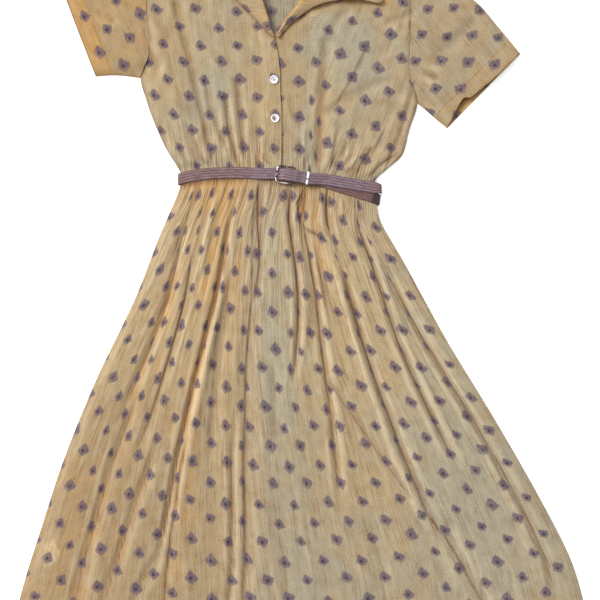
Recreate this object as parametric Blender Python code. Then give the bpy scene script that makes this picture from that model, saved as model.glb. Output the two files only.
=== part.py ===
"""A belted shirt dress laid flat, face up, with every cut and sewn piece as a solid of its own.

Lengths in the tables are millimetres: x to the right and y toward the collar as the dress lies, z up
from the surface it lies on. LAID_MIDDLE_Y brings the middle of the laid dress to the origin.

Each cloth panel is a table of sections. A section is one line across the panel, from a point on its
left edge to a point on its right edge, and the wall is lifted off the panel beneath it by its crown,
its gathers and its folds.
"""
import math
from collections import namedtuple

import bmesh
import bpy
import numpy as np

MM = 0.001
LAID_MIDDLE_Y = 8.5

# Cloth and seams
BACK_WALL = 1.2
FRONT_WALL = 1.6
SLEEVE_WALL = 1.2
COLLAR_WALL = 1.6
SEAM_GAP = 0.35
COLLAR_GAP = 0.7
LAP_RISE = 2.2          # how much higher the top front lies where it laps over the other

# Belt and its fittings
BELT_WIDTH = 20.0
BELT_THICK = 1.6
BELT_RIBS = 4
RIB_DEPTH = 0.3
BELT_LIFT = 2.0         # how far the strap under the dress holds the back off the surface
BED_RISE = 6.0          # height of the flattened gathers under the front strap
BUCKLE_X, BUCKLE_Y = -26.0, 156.0
BUCKLE_TURN = -9.0      # degrees, in the plane of the dress
BUCKLE_HALF_WIDTH = 16.8
BUCKLE_HALF_HEIGHT = 14.4
BUCKLE_CORNER = 6.0
BUCKLE_WIRE = 1.5
HINGE_WIRE = 1.0
PRONG_WIRE = 0.9
BUCKLE_Z = 3.3          # plane of the frame above the middle of a strap that lies on the dress
KEEPER_ALONG = 21.5     # from the hinge bar to the keeper
KEEPER_WIDTH = 4.2
KEEPER_WIRE = 0.9

# Buttons
BUTTON_RADIUS = 7.5
BUTTON_HOLE = 0.8
BUTTON_HOLE_OUT = 1.7

# Heights of the loose cloth
SKIRT_CROWN = 8.0
BODICE_CROWN = 6.0
SLEEVE_CROWN = 7.5
EDGE_ROLL = 13.0        # how quickly the cloth rises from a side seam
GATHER_HEIGHT = 2.4
SKIRT_GATHERS = 19
BODICE_GATHERS = 17
GATHER_FADE = 42.0

Section = namedtuple("Section", "left_x left_y right_x right_y")
Fold = namedtuple("Fold", "down_from down_to across_from across_mid across_to half_width height")
Crease = namedtuple("Crease", "x0 y0 x1 y1 x2 y2 half_width cut")
CollarRow = namedtuple("CollarRow", "roll_x roll_y edge_x edge_y stand seam_out edge_lift")
StrapRow = namedtuple("StrapRow", "x y z skew")

# Sections of the skirt, from the waist to the hem
SKIRT = [
    Section(-210, 151, 130, 133),
    Section(-211, 139, 131, 115),
    Section(-221, 112, 134, 98),
    Section(-250, 45, 142, 70),
    Section(-292, -62, 181, 3),
    Section(-359, -202, 255, -132),
    Section(-416, -342, 340, -272),
    Section(-462, -482, 420, -412),
    Section(-484, -552, 474, -520),
    Section(-500, -612, 500, -610),
]
# Sections of the front that laps on top, from the waist to the shoulder: side seam, underarm at row 5,
# armhole; on the right the closing edge, the foot of the neck at row 7 and the neck
TOP_FRONT = [
    Section(-210, 151, -35, 157),
    Section(-213, 165, -35, 176),
    Section(-236, 202, -34, 214),
    Section(-257, 248, -34, 258),
    Section(-272, 290, -36, 300),
    Section(-281, 327, -37, 337),
    Section(-268, 362, -41, 372),
    Section(-266, 393, -47, 400),
    Section(-270, 442, -61, 445),
    Section(-271, 498, -77, 498),
    Section(-270, 547, -98, 556),
    Section(-267, 589, -135, 620),
]
# Sections of the front underneath, with its underarm at row 5
UNDER_FRONT = [
    Section(-58, 157, 130, 133),
    Section(-58, 178, 131, 149),
    Section(-58, 212, 154, 170),
    Section(-58, 245, 178, 193),
    Section(-58, 278, 190, 236),
    Section(-58, 315, 204, 283),
    Section(-58, 355, 192, 322),
    Section(-51, 398, 189, 358),
    Section(-28, 430, 191, 402),
    Section(-2, 466, 191, 445),
    Section(12, 510, 187, 484),
    Section(46, 603, 182, 529),
]
UNDERARM_ROW = 5
NECK_ROW = 7
# How far the back of the neck and the shoulders rise above a line between the shoulder tips
BACK_NECK = [(0.0, 0), (0.15, 25), (0.294, 49), (0.38, 41), (0.49, 47), (0.6, 53), (0.697, 56),
             (0.85, 28), (1.0, 0)]
# Sections of the sleeves, from the armhole to the hem: underarm on the left, top fold on the right
SLEEVE_RIGHT = [
    Section(-281, 327, -267, 589),
    Section(-308, 331, -322, 575),
    Section(-335, 332, -378, 547),
    Section(-360, 330, -429, 510),
]
SLEEVE_LEFT = [
    Section(204, 283, 182, 529),
    Section(223, 267, 247, 501),
    Section(240, 252, 306, 462),
    Section(249, 245, 347, 416),
    Section(256, 239, 385, 370),
]

# Folds of the skirt, as shares of the way down and across; a ridge is positive, and a valley negative
SKIRT_FOLDS = [
    Fold(0.06, 0.58, 0.085, 0.116, 0.090, 8, -0.55),
    Fold(0.15, 0.66, 0.155, 0.177, 0.148, 7, -0.45),
    Fold(0.04, 0.24, 0.195, 0.207, 0.204, 7, 4.0),
    Fold(0.46, 1.05, 0.128, 0.104, 0.100, 10, -0.55),
    Fold(0.58, 1.05, 0.204, 0.166, 0.148, 9, -0.50),
    Fold(0.54, 1.05, 0.268, 0.254, 0.262, 8, -0.45),
    Fold(0.84, 1.05, 0.235, 0.206, 0.185, 9, -0.45),
    Fold(0.03, 0.92, 0.307, 0.262, 0.232, 6, -0.80),
    Fold(0.07, 0.90, 0.324, 0.280, 0.250, 9, 5.0),
    Fold(0.11, 0.70, 0.300, 0.317, 0.318, 9, -0.40),
    Fold(0.00, 0.30, 0.381, 0.432, 0.400, 11, -0.55),
    Fold(0.24, 1.05, 0.402, 0.396, 0.397, 12, -0.50),
    Fold(0.52, 1.05, 0.366, 0.371, 0.370, 6, -0.45),
    Fold(0.50, 1.05, 0.384, 0.386, 0.385, 8, 2.5),
    Fold(0.40, 0.62, 0.470, 0.468, 0.466, 9, -0.30),
    Fold(0.70, 1.05, 0.455, 0.470, 0.485, 14, -0.30),
    Fold(0.00, 0.48, 0.562, 0.568, 0.515, 6, -0.70),
    Fold(0.03, 0.44, 0.585, 0.588, 0.538, 9, 4.0),
    Fold(0.07, 0.76, 0.640, 0.615, 0.586, 7, -0.60),
    Fold(0.10, 0.74, 0.658, 0.632, 0.604, 9, 3.0),
    Fold(0.00, 0.13, 0.753, 0.751, 0.748, 6, -0.70),
    Fold(0.13, 0.30, 0.670, 0.663, 0.657, 6, -0.35),
    Fold(0.15, 0.83, 0.747, 0.745, 0.767, 7, -0.70),
    Fold(0.16, 0.82, 0.729, 0.727, 0.749, 10, 4.5),
    Fold(0.76, 1.05, 0.772, 0.805, 0.850, 13, -0.60),
    Fold(0.42, 0.74, 0.600, 0.684, 0.745, 10, -0.35),
    Fold(0.05, 0.68, 0.893, 0.850, 0.864, 7, -0.70),
    Fold(0.08, 0.66, 0.911, 0.868, 0.882, 9, 4.0),
    Fold(0.13, 1.05, 0.900, 0.950, 0.946, 8, -0.65),
    Fold(0.74, 1.05, 0.640, 0.646, 0.655, 15, -0.35),
]
# Creases of the bodice, as three points on each and the share of the height that it takes away
BODICE_CREASES = [
    Crease(-272, 425, -264, 375, -254, 345, 7, 0.50),
    Crease(-219, 456, -182, 304, -154, 190, 8, 0.50),
    Crease(-165, 321, -159, 274, -133, 210, 7, 0.40),
    Crease(-133, 288, -129, 242, -111, 172, 6, 0.60),
    Crease(-114, 321, -110, 274, -102, 195, 7, 0.50),
    Crease(-24, 292, -17, 268, -2, 246, 8, 0.35),
    Crease(42, 388, 35, 288, 30, 174, 9, 0.55),
    Crease(137, 318, 70, 288, 50, 268, 9, 0.45),
    Crease(77, 442, 58, 423, 49, 395, 8, 0.40),
    Crease(195, 442, 177, 431, 156, 425, 7, 0.35),
    Crease(121, 200, 110, 184, 98, 164, 7, 0.50),
    Crease(156, 188, 137, 174, 121, 156, 6, 0.50),
    Crease(199, 311, 175, 227, 156, 179, 8, 0.50),
]
SLEEVE_CREASES = [
    Crease(-380, 466, -362, 443, -332, 426, 8, 0.40),
    Crease(-297, 468, -287, 446, -282, 425, 8, 0.35),
    Crease(300, 420, 270, 390, 240, 364, 13, 0.50),
    Crease(196, 341, 214, 336, 235, 327, 7, 0.50),
    Crease(212, 300, 222, 286, 234, 276, 6, 0.45),
]
SLEEVE_CUT_BACK = [(0.0, 2.0), (0.25, 4.0), (0.42, 15.0), (0.5, 7.0), (0.8, 4.0), (1.0, 0.5)]

# The collar, from the foot of the neck on the left, round the back of the neck, to its foot on the right
COLLAR = [
    CollarRow(-51, 409, -61, 409, 4.0, 2.0, 0.0),
    CollarRow(-56, 426, -82, 430, 5.0, 3.0, 0.3),
    CollarRow(-64, 452, -112, 461, 6.0, 4.0, 0.5),
    CollarRow(-73, 481, -148, 497, 7.0, 5.0, 0.8),
    CollarRow(-84, 515, -186, 536, 8.0, 6.0, 1.2),
    CollarRow(-94, 546, -179, 562, 9.5, 8.0, 1.0),
    CollarRow(-100, 572, -166, 594, 12.0, 11.0, 0.6),
    CollarRow(-96, 594, -138, 625, 18.0, 6.0, 0.3),
    CollarRow(-75, 606, -96, 643, 20.0, -3.0, 0.3),
    CollarRow(-46, 610, -46, 650, 21.0, -6.0, 0.3),
    CollarRow(-14, 607, 8, 643, 20.0, -3.0, 0.3),
    CollarRow(9, 596, 54, 623, 18.0, 6.0, 0.3),
    CollarRow(19, 575, 92, 580, 13.0, 18.0, 1.0),
    CollarRow(18, 551, 118, 518, 11.0, 12.0, 3.0),
    CollarRow(15, 526, 143, 459, 10.0, 6.0, 6.0),
    CollarRow(11, 497, 98, 462, 9.0, 5.0, 7.0),
    CollarRow(4, 470, 52, 459, 8.0, 4.0, 6.0),
    CollarRow(-10, 446, 18, 447, 6.5, 3.0, 3.5),
    CollarRow(-27, 425, -13, 425, 5.0, 3.0, 1.5),
    CollarRow(-38, 409, -29, 408, 4.0, 2.0, 0.3),
]

# Plan of the strap that shows on the right below the tail, and of the strap under the dress
LOW_STRAP = [(-12, 154), (12, 150), (33, 146), (77, 133), (118, 120.5), (137, 114.5)]
UNDER_STRAP = [(-212, 149), (137, 109)]


def smooth(share):
    """An even rise from 0 to 1, held at 0 before and at 1 after."""
    share = np.clip(share, 0.0, 1.0)
    return share * share * (3.0 - 2.0 * share)


def between(start, end, share):
    return start + (end - start) * share


def along(points, x):
    """The y of a short line of (x, y) points at x."""
    return np.interp(x, [p[0] for p in points], [p[1] for p in points])


def through(rows, station):
    """A smooth curve through table rows, read at a station counted in rows."""
    rows = np.asarray(rows, dtype=float)
    last = len(rows) - 1
    i = min(int(math.floor(station)), last - 1)
    t = station - i
    before = rows[max(i - 1, 0)]
    start, end = rows[i], rows[i + 1]
    after = rows[min(i + 2, last)]
    return 0.5 * (2 * start + (end - before) * t + (2 * before - 5 * start + 4 * end - after) * t ** 2
                  + (after - before + 3 * start - 3 * end) * t ** 3)


# ---------------------------------------------------------------- where the waist, seams and straps run

def waist_share(x):
    return (x - SKIRT[0].left_x) / (SKIRT[0].right_x - SKIRT[0].left_x)


def waist_arch(x):
    """How far the waist rises above a straight line between its ends."""
    share = np.clip(waist_share(x), 0.0, 1.0)
    return (17.0 - 4.6 * share) * (1.0 - np.abs(2.0 * share - 1.0) ** 3)


def waist_y(x):
    return between(SKIRT[0].left_y, SKIRT[0].right_y, waist_share(x)) + waist_arch(x)


def side_edges(y):
    """The x of the dress's two side edges, from the hem to the shoulder tips."""
    left = [(row.left_y, row.left_x) for row in SKIRT[::-1] + TOP_FRONT]
    right = [(row.right_y, row.right_x) for row in SKIRT[::-1] + UNDER_FRONT]
    return along(left, y), along(right, y)


def below_shoulder(x, y):
    """How far a point lies below the shoulder seams."""
    left_tip, right_tip = TOP_FRONT[-1], UNDER_FRONT[-1]
    seams = [(left_tip.left_x, left_tip.left_y), (left_tip.right_x, left_tip.right_y),
             (right_tip.left_x, right_tip.left_y), (right_tip.right_x, right_tip.right_y)]
    return along(seams, x) - y


def edge_rise(distance, roll=EDGE_ROLL):
    return 1.0 - np.exp(-np.maximum(distance, 0.0) / roll)


def belt_lift(x, y):
    """How far the strap under the dress holds the cloth off the surface."""
    away = np.abs(y - along(UNDER_STRAP, x))
    return BELT_LIFT * (1.0 - smooth((away - 44.0) / 34.0))


def bed(x):
    """Height of the flattened gathers under the front strap, from nothing at the two sides."""
    left, right = UNDER_STRAP[0][0], UNDER_STRAP[1][0]
    return BED_RISE * edge_rise(np.minimum(x - left, right - x) - 2.0, 40.0)


def pressed(x, y):
    """1 where a front strap presses the cloth flat, 0 where the cloth is loose."""
    under_tail = 1.0 - smooth((np.abs(y - waist_y(x)) - 13.0) / 16.0)
    under_low = 1.0 - smooth((np.abs(y - along(LOW_STRAP, x)) - 18.0) / 18.0)
    return np.maximum(under_tail, np.where(x > LOW_STRAP[0][0], under_low, 0.0))


# ---------------------------------------------------------------- height of the loose cloth

def gathers(x, y, count, away):
    """Small uneven waves drawn in by the waist, which fade away from it."""
    left, right = side_edges(y)
    share = (x - left) / (right - left)
    beat = count * share + 0.35 * np.sin(9.0 * share + 1.0) + 0.2 * np.sin(23.0 * share)
    size = 0.75 + 0.25 * np.sin(17.0 * share + 0.5)
    return GATHER_HEIGHT * size * np.cos(2.0 * math.pi * beat) * np.exp(-away / GATHER_FADE)


def skirt_puff(x, y):
    """Height of the skirt's front over its back: crown, gathers, ridges and valleys."""
    left, right = side_edges(y)
    across = (x - left) / (right - left)
    hem_y = between(SKIRT[-1].left_y, SKIRT[-1].right_y, across) - hem_arch(across)
    down = (waist_y(x) - y) / (waist_y(x) - hem_y)
    ridges = gathers(x, y, SKIRT_GATHERS, np.maximum(waist_y(x) - y, 0.0))
    kept = np.ones_like(x)
    for fold in SKIRT_FOLDS:
        run = (down - fold.down_from) / (fold.down_to - fold.down_from)
        middle = ((1 - run) * (1 - 2 * run) * fold.across_from + 4 * run * (1 - run) * fold.across_mid
                  + run * (2 * run - 1) * fold.across_to)
        off = (across - middle) * (right - left) / fold.half_width
        ends = smooth(run / 0.18) * smooth((1.0 - run) / 0.18)
        shape = ends * np.exp(-off * off)
        if fold.height > 0:
            ridges = ridges + fold.height * shape
        else:
            kept = kept * (1.0 + fold.height * shape)
    to_side = np.minimum(x - left, right - x)
    lie_down = 1.0 - 0.35 * smooth((down - 0.88) / 0.12)
    return edge_rise(to_side) * (SKIRT_CROWN + ridges) * kept * lie_down


def crease_share(x, y, creases):
    """The share of its height that the cloth keeps beside a set of creases."""
    kept = np.ones_like(x)
    for crease in creases:
        near = np.full_like(x, 1e9)
        for ax, ay, bx, by in ((crease.x0, crease.y0, crease.x1, crease.y1),
                               (crease.x1, crease.y1, crease.x2, crease.y2)):
            run = ((x - ax) * (bx - ax) + (y - ay) * (by - ay)) / ((bx - ax) ** 2 + (by - ay) ** 2)
            run = np.clip(run, 0.0, 1.0)
            near = np.minimum(near, np.hypot(x - between(ax, bx, run), y - between(ay, by, run)))
        kept = kept * (1.0 - crease.cut * np.exp(-(near / crease.half_width) ** 2))
    return kept


def bodice_puff(x, y):
    """Height of the bodice's front over its back."""
    left, right = side_edges(y)
    underarm_left = TOP_FRONT[UNDERARM_ROW].left_y
    underarm_right = UNDER_FRONT[UNDERARM_ROW].right_y
    open_left = smooth((y - underarm_left) / 45.0)
    open_right = smooth((y - underarm_right) / 45.0)
    side = np.maximum(edge_rise(x - left), open_left) * np.maximum(edge_rise(right - x), open_right)
    loose = smooth((np.abs(x + 46.0) - 18.0) / 20.0)
    waves = gathers(x, y, BODICE_GATHERS, np.maximum(y - waist_y(x), 0.0)) * loose
    creased = between(1.0, crease_share(x, y, BODICE_CREASES), loose)
    return side * edge_rise(below_shoulder(x, y), 16.0) * (BODICE_CROWN + waves) * creased


def front_low(x, y):
    """Underside of the front cloth anywhere on the dress."""
    loose = np.where(y > waist_y(x), bodice_puff(x, y), skirt_puff(x, y))
    press = pressed(x, y)
    return belt_lift(x, y) + BACK_WALL + SEAM_GAP + press * bed(x) + (1.0 - press) * loose


def lap(x, y):
    """Extra height of the top front where it lies on the other one."""
    return LAP_RISE * smooth((x + 80.0) / 17.0) * (1.0 - smooth((y - 402.0) / 30.0))


def ground(x, y):
    """Top of the fronts, of the back inside the neck, or the surface itself beyond the shoulders."""
    x, y = np.asarray(x, dtype=float), np.asarray(y, dtype=float)
    on_top_front = np.where(x < -33.0, lap(x, y), 0.0)
    top = front_low(x, y) + FRONT_WALL + on_top_front
    neck_left = along([(row.right_y, row.right_x) for row in TOP_FRONT[NECK_ROW:]], y)
    neck_right = along([(row.left_y, row.left_x) for row in UNDER_FRONT[NECK_ROW:]], y)
    in_neck = (y > TOP_FRONT[NECK_ROW].right_y) & (x > neck_left + 8.0) & (x < neck_right - 8.0)
    top = np.where(in_neck, BACK_WALL, top)
    return top * (1.0 - smooth((-below_shoulder(x, y) - 3.0) / 14.0))


# ---------------------------------------------------------------- making solids

def finish_object(name, bm, material, place=None, turn=0.0):
    """Turns a bmesh in metres into an object with its faces outward."""
    bmesh.ops.recalc_face_normals(bm, faces=bm.faces)
    mesh = bpy.data.meshes.new(name)
    bm.to_mesh(mesh)
    bm.free()
    mesh.materials.append(material)
    obj = bpy.data.objects.new(name, mesh)
    bpy.context.scene.collection.objects.link(obj)
    if place is not None:
        obj.location = ((place[0]) * MM, (place[1] - LAID_MIDDLE_Y) * MM, place[2] * MM)
        obj.rotation_euler = (0.0, 0.0, math.radians(turn))
    return obj


def laid(points):
    """Table millimetres to metres about the middle of the laid dress."""
    return (np.asarray(points, dtype=float) - (0.0, LAID_MIDDLE_Y, 0.0)) * MM


def grid_faces(bm, verts, rows, columns, wrap=False):
    """Four-sided faces over a grid of vertices, closed across its columns if wrap is set."""
    for r in range(rows - 1):
        for c in range(columns if wrap else columns - 1):
            d = (c + 1) % columns
            bm.faces.new((verts[r * columns + c], verts[r * columns + d],
                          verts[(r + 1) * columns + d], verts[(r + 1) * columns + c]))


def cloth_panel(name, x, y, low, wall, material):
    """A closed wall over a grid of sections: its underside at low and its top a wall above it."""
    rows, columns = x.shape
    bm = bmesh.new()
    under = [bm.verts.new(p) for p in laid(np.stack([x, y, low], axis=2).reshape(-1, 3))]
    over = [bm.verts.new(p) for p in laid(np.stack([x, y, low + wall], axis=2).reshape(-1, 3))]
    grid_faces(bm, under, rows, columns)
    grid_faces(bm, over, rows, columns)
    rim = ([(0, c) for c in range(columns)] + [(r, columns - 1) for r in range(1, rows)]
           + [(rows - 1, c) for c in range(columns - 2, -1, -1)] + [(r, 0) for r in range(rows - 2, 0, -1)])
    for (r0, c0), (r1, c1) in zip(rim, rim[1:] + rim[:1]):
        a, b = r0 * columns + c0, r1 * columns + c1
        bm.faces.new((under[a], under[b], over[b], over[a]))
    return finish_object(name, bm, material)


def lofted(name, rings, material, place=None, turn=0.0, closed=False):
    """A solid through a row of rings of points, capped at both ends unless it closes on itself."""
    rings = np.asarray(rings, dtype=float)
    count, sides = rings.shape[:2]
    points = rings.reshape(-1, 3)
    bm = bmesh.new()
    verts = [bm.verts.new(p) for p in (points * MM if place is not None else laid(points))]
    if closed:
        grid_faces(bm, verts + verts[:sides], count + 1, sides, wrap=True)
    else:
        grid_faces(bm, verts, count, sides, wrap=True)
        bm.faces.new(verts[:sides])
        bm.faces.new(verts[-sides:])
    return finish_object(name, bm, material, place, turn)


def cloth_tube(name, outer, inner, material):
    """A flattened tube of cloth with a wall between its outer and inner rings and two open ends."""
    outer, inner = np.asarray(outer, dtype=float), np.asarray(inner, dtype=float)
    count, sides = outer.shape[:2]
    bm = bmesh.new()
    outside = [bm.verts.new(p) for p in laid(outer.reshape(-1, 3))]
    inside = [bm.verts.new(p) for p in laid(inner.reshape(-1, 3))]
    grid_faces(bm, outside, count, sides, wrap=True)
    grid_faces(bm, inside, count, sides, wrap=True)
    for start in (0, (count - 1) * sides):
        for s in range(sides):
            a, b = start + s, start + (s + 1) % sides
            bm.faces.new((outside[a], outside[b], inside[b], inside[a]))
    return finish_object(name, bm, material)


def panel_grid(table, stations, shares, arch_rows):
    """The plan of a panel: sections at the stations, and points at the shares across each."""
    x = np.zeros((len(stations), len(shares)))
    y = np.zeros_like(x)
    for r, station in enumerate(stations):
        left_x, left_y, right_x, right_y = through(table, station)
        x[r] = between(left_x, right_x, shares)
        follow = max(0.0, 1.0 - station / arch_rows)
        bulge = waist_arch(x[r]) - between(waist_arch(left_x), waist_arch(right_x), shares)
        y[r] = between(left_y, right_y, shares) + follow * bulge
    y[0] = waist_y(x[0])
    return x, y


def plain_material(name, colour, roughness, metallic=0.0):
    material = bpy.data.materials.new(name)
    material.use_nodes = True
    shader = material.node_tree.nodes["Principled BSDF"]
    shader.inputs["Base Color"].default_value = (*colour, 1.0)
    shader.inputs["Roughness"].default_value = roughness
    shader.inputs["Metallic"].default_value = metallic
    return material


# ---------------------------------------------------------------- skirt

def hem_arch(across):
    """How far the middle of the hem hangs below a line between its corners."""
    return 21.0 * np.sin(math.pi * np.clip(across, 0.0, 1.0))


SKIRT_STATIONS = [0.0, 0.8, 1.5, 2.0, 2.3, 2.65, 3.0, 3.5, 4.0, 4.5, 5.0, 5.5, 6.0, 6.5, 7.0, 7.5, 8.0,
                  8.5, 9.0]
SKIRT_COLUMNS = 62
BACK_SHARES = np.array([share for share, rise in BACK_NECK])


def skirt_grid(shares):
    x, y = panel_grid(SKIRT, SKIRT_STATIONS, shares, arch_rows=6.0)
    y[0] -= SEAM_GAP / 2
    for r, station in enumerate(SKIRT_STATIONS):
        y[r] -= hem_arch(shares) * smooth((station - 4.0) / 5.0)
    return x, y


def make_skirt(cloth):
    x, y = skirt_grid(BACK_SHARES)
    cloth_panel("skirt_back", x, y, belt_lift(x, y), BACK_WALL, cloth)
    x, y = skirt_grid(np.linspace(0.0, 1.0, SKIRT_COLUMNS + 1))
    cloth_panel("skirt_front", x, y, front_low(x, y), FRONT_WALL, cloth)


# ---------------------------------------------------------------- bodice

BODICE_STATIONS = [0.0, 0.8, 1.3, 1.65, 2.0, 2.5, 3.0, 3.5, 4.0, 4.5, 5.0, 5.5, 6.0, 6.5, 7.0, 7.5, 8.0,
                   8.5, 9.0, 9.5, 10.0, 10.5, 11.0]
BODICE_COLUMNS = 15
NECK_RISE_FROM = 7.0


def bodice_grid(table, shares):
    x, y = panel_grid(table, BODICE_STATIONS, shares, arch_rows=4.0)
    y[0] += SEAM_GAP / 2
    return x, y


def make_bodice(cloth):
    whole = [Section(a.left_x, a.left_y, b.right_x, b.right_y) for a, b in zip(TOP_FRONT, UNDER_FRONT)]
    x, y = bodice_grid(whole, BACK_SHARES)
    for r, station in enumerate(BODICE_STATIONS):
        y[r] += along(BACK_NECK, BACK_SHARES) * smooth((station - NECK_RISE_FROM) / 4.0)
    cloth_panel("bodice_back", x, y, belt_lift(x, y), BACK_WALL, cloth)

    shares = np.linspace(0.0, 1.0, BODICE_COLUMNS + 1)
    x, y = bodice_grid(UNDER_FRONT, shares)
    cloth_panel("bodice_front_left", x, y, front_low(x, y), FRONT_WALL, cloth)
    x, y = bodice_grid(TOP_FRONT, shares)
    cloth_panel("bodice_front_right", x, y, front_low(x, y) + lap(x, y), FRONT_WALL, cloth)


# ---------------------------------------------------------------- sleeves

SLEEVE_ENDS = 0.025     # share across a sleeve taken by its turned edge
SLEEVE_EDGE = 2.2       # thickness of the cloth round that edge


def armhole_points(table, side):
    """The armhole edge of a front, from underarm to shoulder, at that panel's own sections."""
    stations = [s for s in BODICE_STATIONS if s >= UNDERARM_ROW]
    first = 0 if side == "left" else 2
    return np.array([through(table, s)[first:first + 2] for s in stations])


def make_sleeve(name, sections, armhole, rings, cut_back, cloth):
    """A flattened tube whose first ring follows the armhole a seam gap away."""
    step = np.hypot(*np.diff(armhole, axis=0).T)
    walked = np.concatenate([[0.0], np.cumsum(step)]) / step.sum()
    shares = np.unique(np.concatenate([walked, [SLEEVE_ENDS, 1.0 - SLEEVE_ENDS]]))
    hem_side = math.copysign(1.0, sections[-1].left_x)
    first = np.stack([np.interp(shares, walked, armhole[:, 0]) + hem_side * SEAM_GAP,
                      np.interp(shares, walked, armhole[:, 1])], axis=1)
    straight = np.stack([between(first[0, 0], first[-1, 0], shares),
                         between(first[0, 1], first[-1, 1], shares)], axis=1)
    bend = first - straight
    outer, inner = [], []
    for down in rings:
        left_x, left_y, right_x, right_y = through(sections, down * (len(sections) - 1))
        plan = np.stack([between(left_x, right_x, shares), between(left_y, right_y, shares)], axis=1)
        plan = plan + bend * (1.0 - smooth(down / 0.6))
        if down == 0.0:
            plan = first
        width = math.hypot(right_x - left_x, right_y - left_y)
        to_edge = np.minimum(shares, 1.0 - shares) * width
        own = edge_rise(to_edge, 15.0) * SLEEVE_CROWN
        own = own * crease_share(plan[:, 0], plan[:, 1], SLEEVE_CREASES)
        low = SLEEVE_WALL + 0.7 + own
        low = between(front_low(plan[:, 0], plan[:, 1]) + 0.4, low, smooth(down / 0.35))
        retreat = np.zeros_like(plan)
        if cut_back and down > 0.8:
            toward = np.array([math.cos(math.radians(225)), math.sin(math.radians(225))])
            retreat = np.outer(along(SLEEVE_CUT_BACK, shares), toward) * (down - 0.8) / 0.2
        top_plan = plan + retreat
        middle = slice(1, -1)
        edge_z = SLEEVE_WALL + 0.5
        across = (plan[-1] - plan[0]) / width

        def ring(bottom_z, top_z, inset):
            start = [*(plan[0] + across * inset), edge_z]
            end = [*(plan[-1] - across * inset), edge_z]
            bottom = [[px, py, bottom_z] for px, py in plan[middle]]
            top = [[px, py, z] for (px, py), z in zip(top_plan[middle][::-1], top_z[middle][::-1])]
            return [start] + bottom + [end] + top

        outer.append(ring(0.0, low + SLEEVE_WALL + 0.2, 0.0))
        inner.append(ring(SLEEVE_WALL, low, SLEEVE_EDGE))
    cloth_tube(name, outer, inner, cloth)


def make_sleeves(cloth):
    rings = [0.0, 0.12, 0.24, 0.37, 0.5, 0.63, 0.76, 0.88, 1.0]
    make_sleeve("sleeve_right", SLEEVE_RIGHT, armhole_points(TOP_FRONT, "left"), rings, False, cloth)
    make_sleeve("sleeve_left", SLEEVE_LEFT, armhole_points(UNDER_FRONT, "right"), rings, True, cloth)


# ---------------------------------------------------------------- collar

def collar_ring(row):
    """One section of the collar: up from the neck seam, over the roll and down to the outer edge."""
    out = np.array([row.edge_x - row.roll_x, row.edge_y - row.roll_y])
    width = np.hypot(*out)
    out = out / width
    half = COLLAR_WALL / 2

    def rests(distance):
        px, py = row.roll_x + out[0] * distance, row.roll_y + out[1] * distance
        return float(ground(px, py)) + half + COLLAR_GAP

    seam_z = rests(row.seam_out)
    roll_z = seam_z + row.stand
    edge_z = rests(width) + row.edge_lift
    path = [(row.seam_out, seam_z), (between(row.seam_out, 0.0, 0.75), seam_z + 0.4 * row.stand),
            (0.2, seam_z + 0.8 * row.stand), (min(2.5, 0.3 * width), roll_z)]
    for share, sag in ((0.3, 0.86), (0.5, 0.55), (0.75, 0.2), (1.0, 0.0)):
        distance = width * share
        over_stand = COLLAR_WALL + 0.6 if distance < row.seam_out + 5.0 else 0.0
        path.append((distance, max(between(edge_z, roll_z, sag), rests(distance) + over_stand)))
    path = np.array(path)
    run = np.gradient(path, axis=0)
    normal = np.stack([-run[:, 1], run[:, 0]], axis=1)
    normal = normal / np.linalg.norm(normal, axis=1)[:, None]
    sides = [path + normal * half, (path - normal * half)[::-1]]
    return [[row.roll_x + out[0] * d, row.roll_y + out[1] * d, z] for d, z in np.concatenate(sides)]


def make_collar(cloth):
    rows = [CollarRow(*through(COLLAR, s)) for s in np.arange(0.0, len(COLLAR) - 0.999, 0.5)]
    lofted("collar", [collar_ring(row) for row in rows], cloth)


# ---------------------------------------------------------------- belt

STRAP_MIDDLE = BELT_LIFT + BACK_WALL + SEAM_GAP + FRONT_WALL + 0.5 + BELT_THICK / 2
UNDER_MIDDLE = BELT_THICK / 2
BUCKLE_BASE = STRAP_MIDDLE + LAP_RISE + float(bed(np.array(BUCKLE_X)))
LOOP_RADIUS = HINGE_WIRE + 0.3 + BELT_THICK / 2


def strap_z(x):
    return STRAP_MIDDLE + float(bed(np.array(float(x))))


def by_buckle(along_it, up, skew=-BUCKLE_TURN):
    """A strap row placed from the hinge bar, along the buckle's own direction."""
    turn = math.radians(BUCKLE_TURN)
    reach = BUCKLE_HALF_WIDTH + along_it
    return StrapRow(BUCKLE_X + reach * math.cos(turn), BUCKLE_Y + reach * math.sin(turn),
                    BUCKLE_BASE + up, skew)


def side_turn(x, y_from, y_to, z_from, z_to, outward, skew_from, skew_to):
    """The strap's half turn round one side of the dress."""
    rows = []
    for share in (0.0, 0.17, 0.34, 0.5, 0.66, 0.83, 1.0):
        angle = math.pi * share
        radius = abs(z_from - z_to) / 2
        rows.append(StrapRow(x + outward * radius * math.sin(angle), between(y_from, y_to, share),
                             (z_from + z_to) / 2 + (z_from - z_to) / 2 * math.cos(angle),
                             between(skew_from, skew_to, share)))
    return rows


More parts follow.
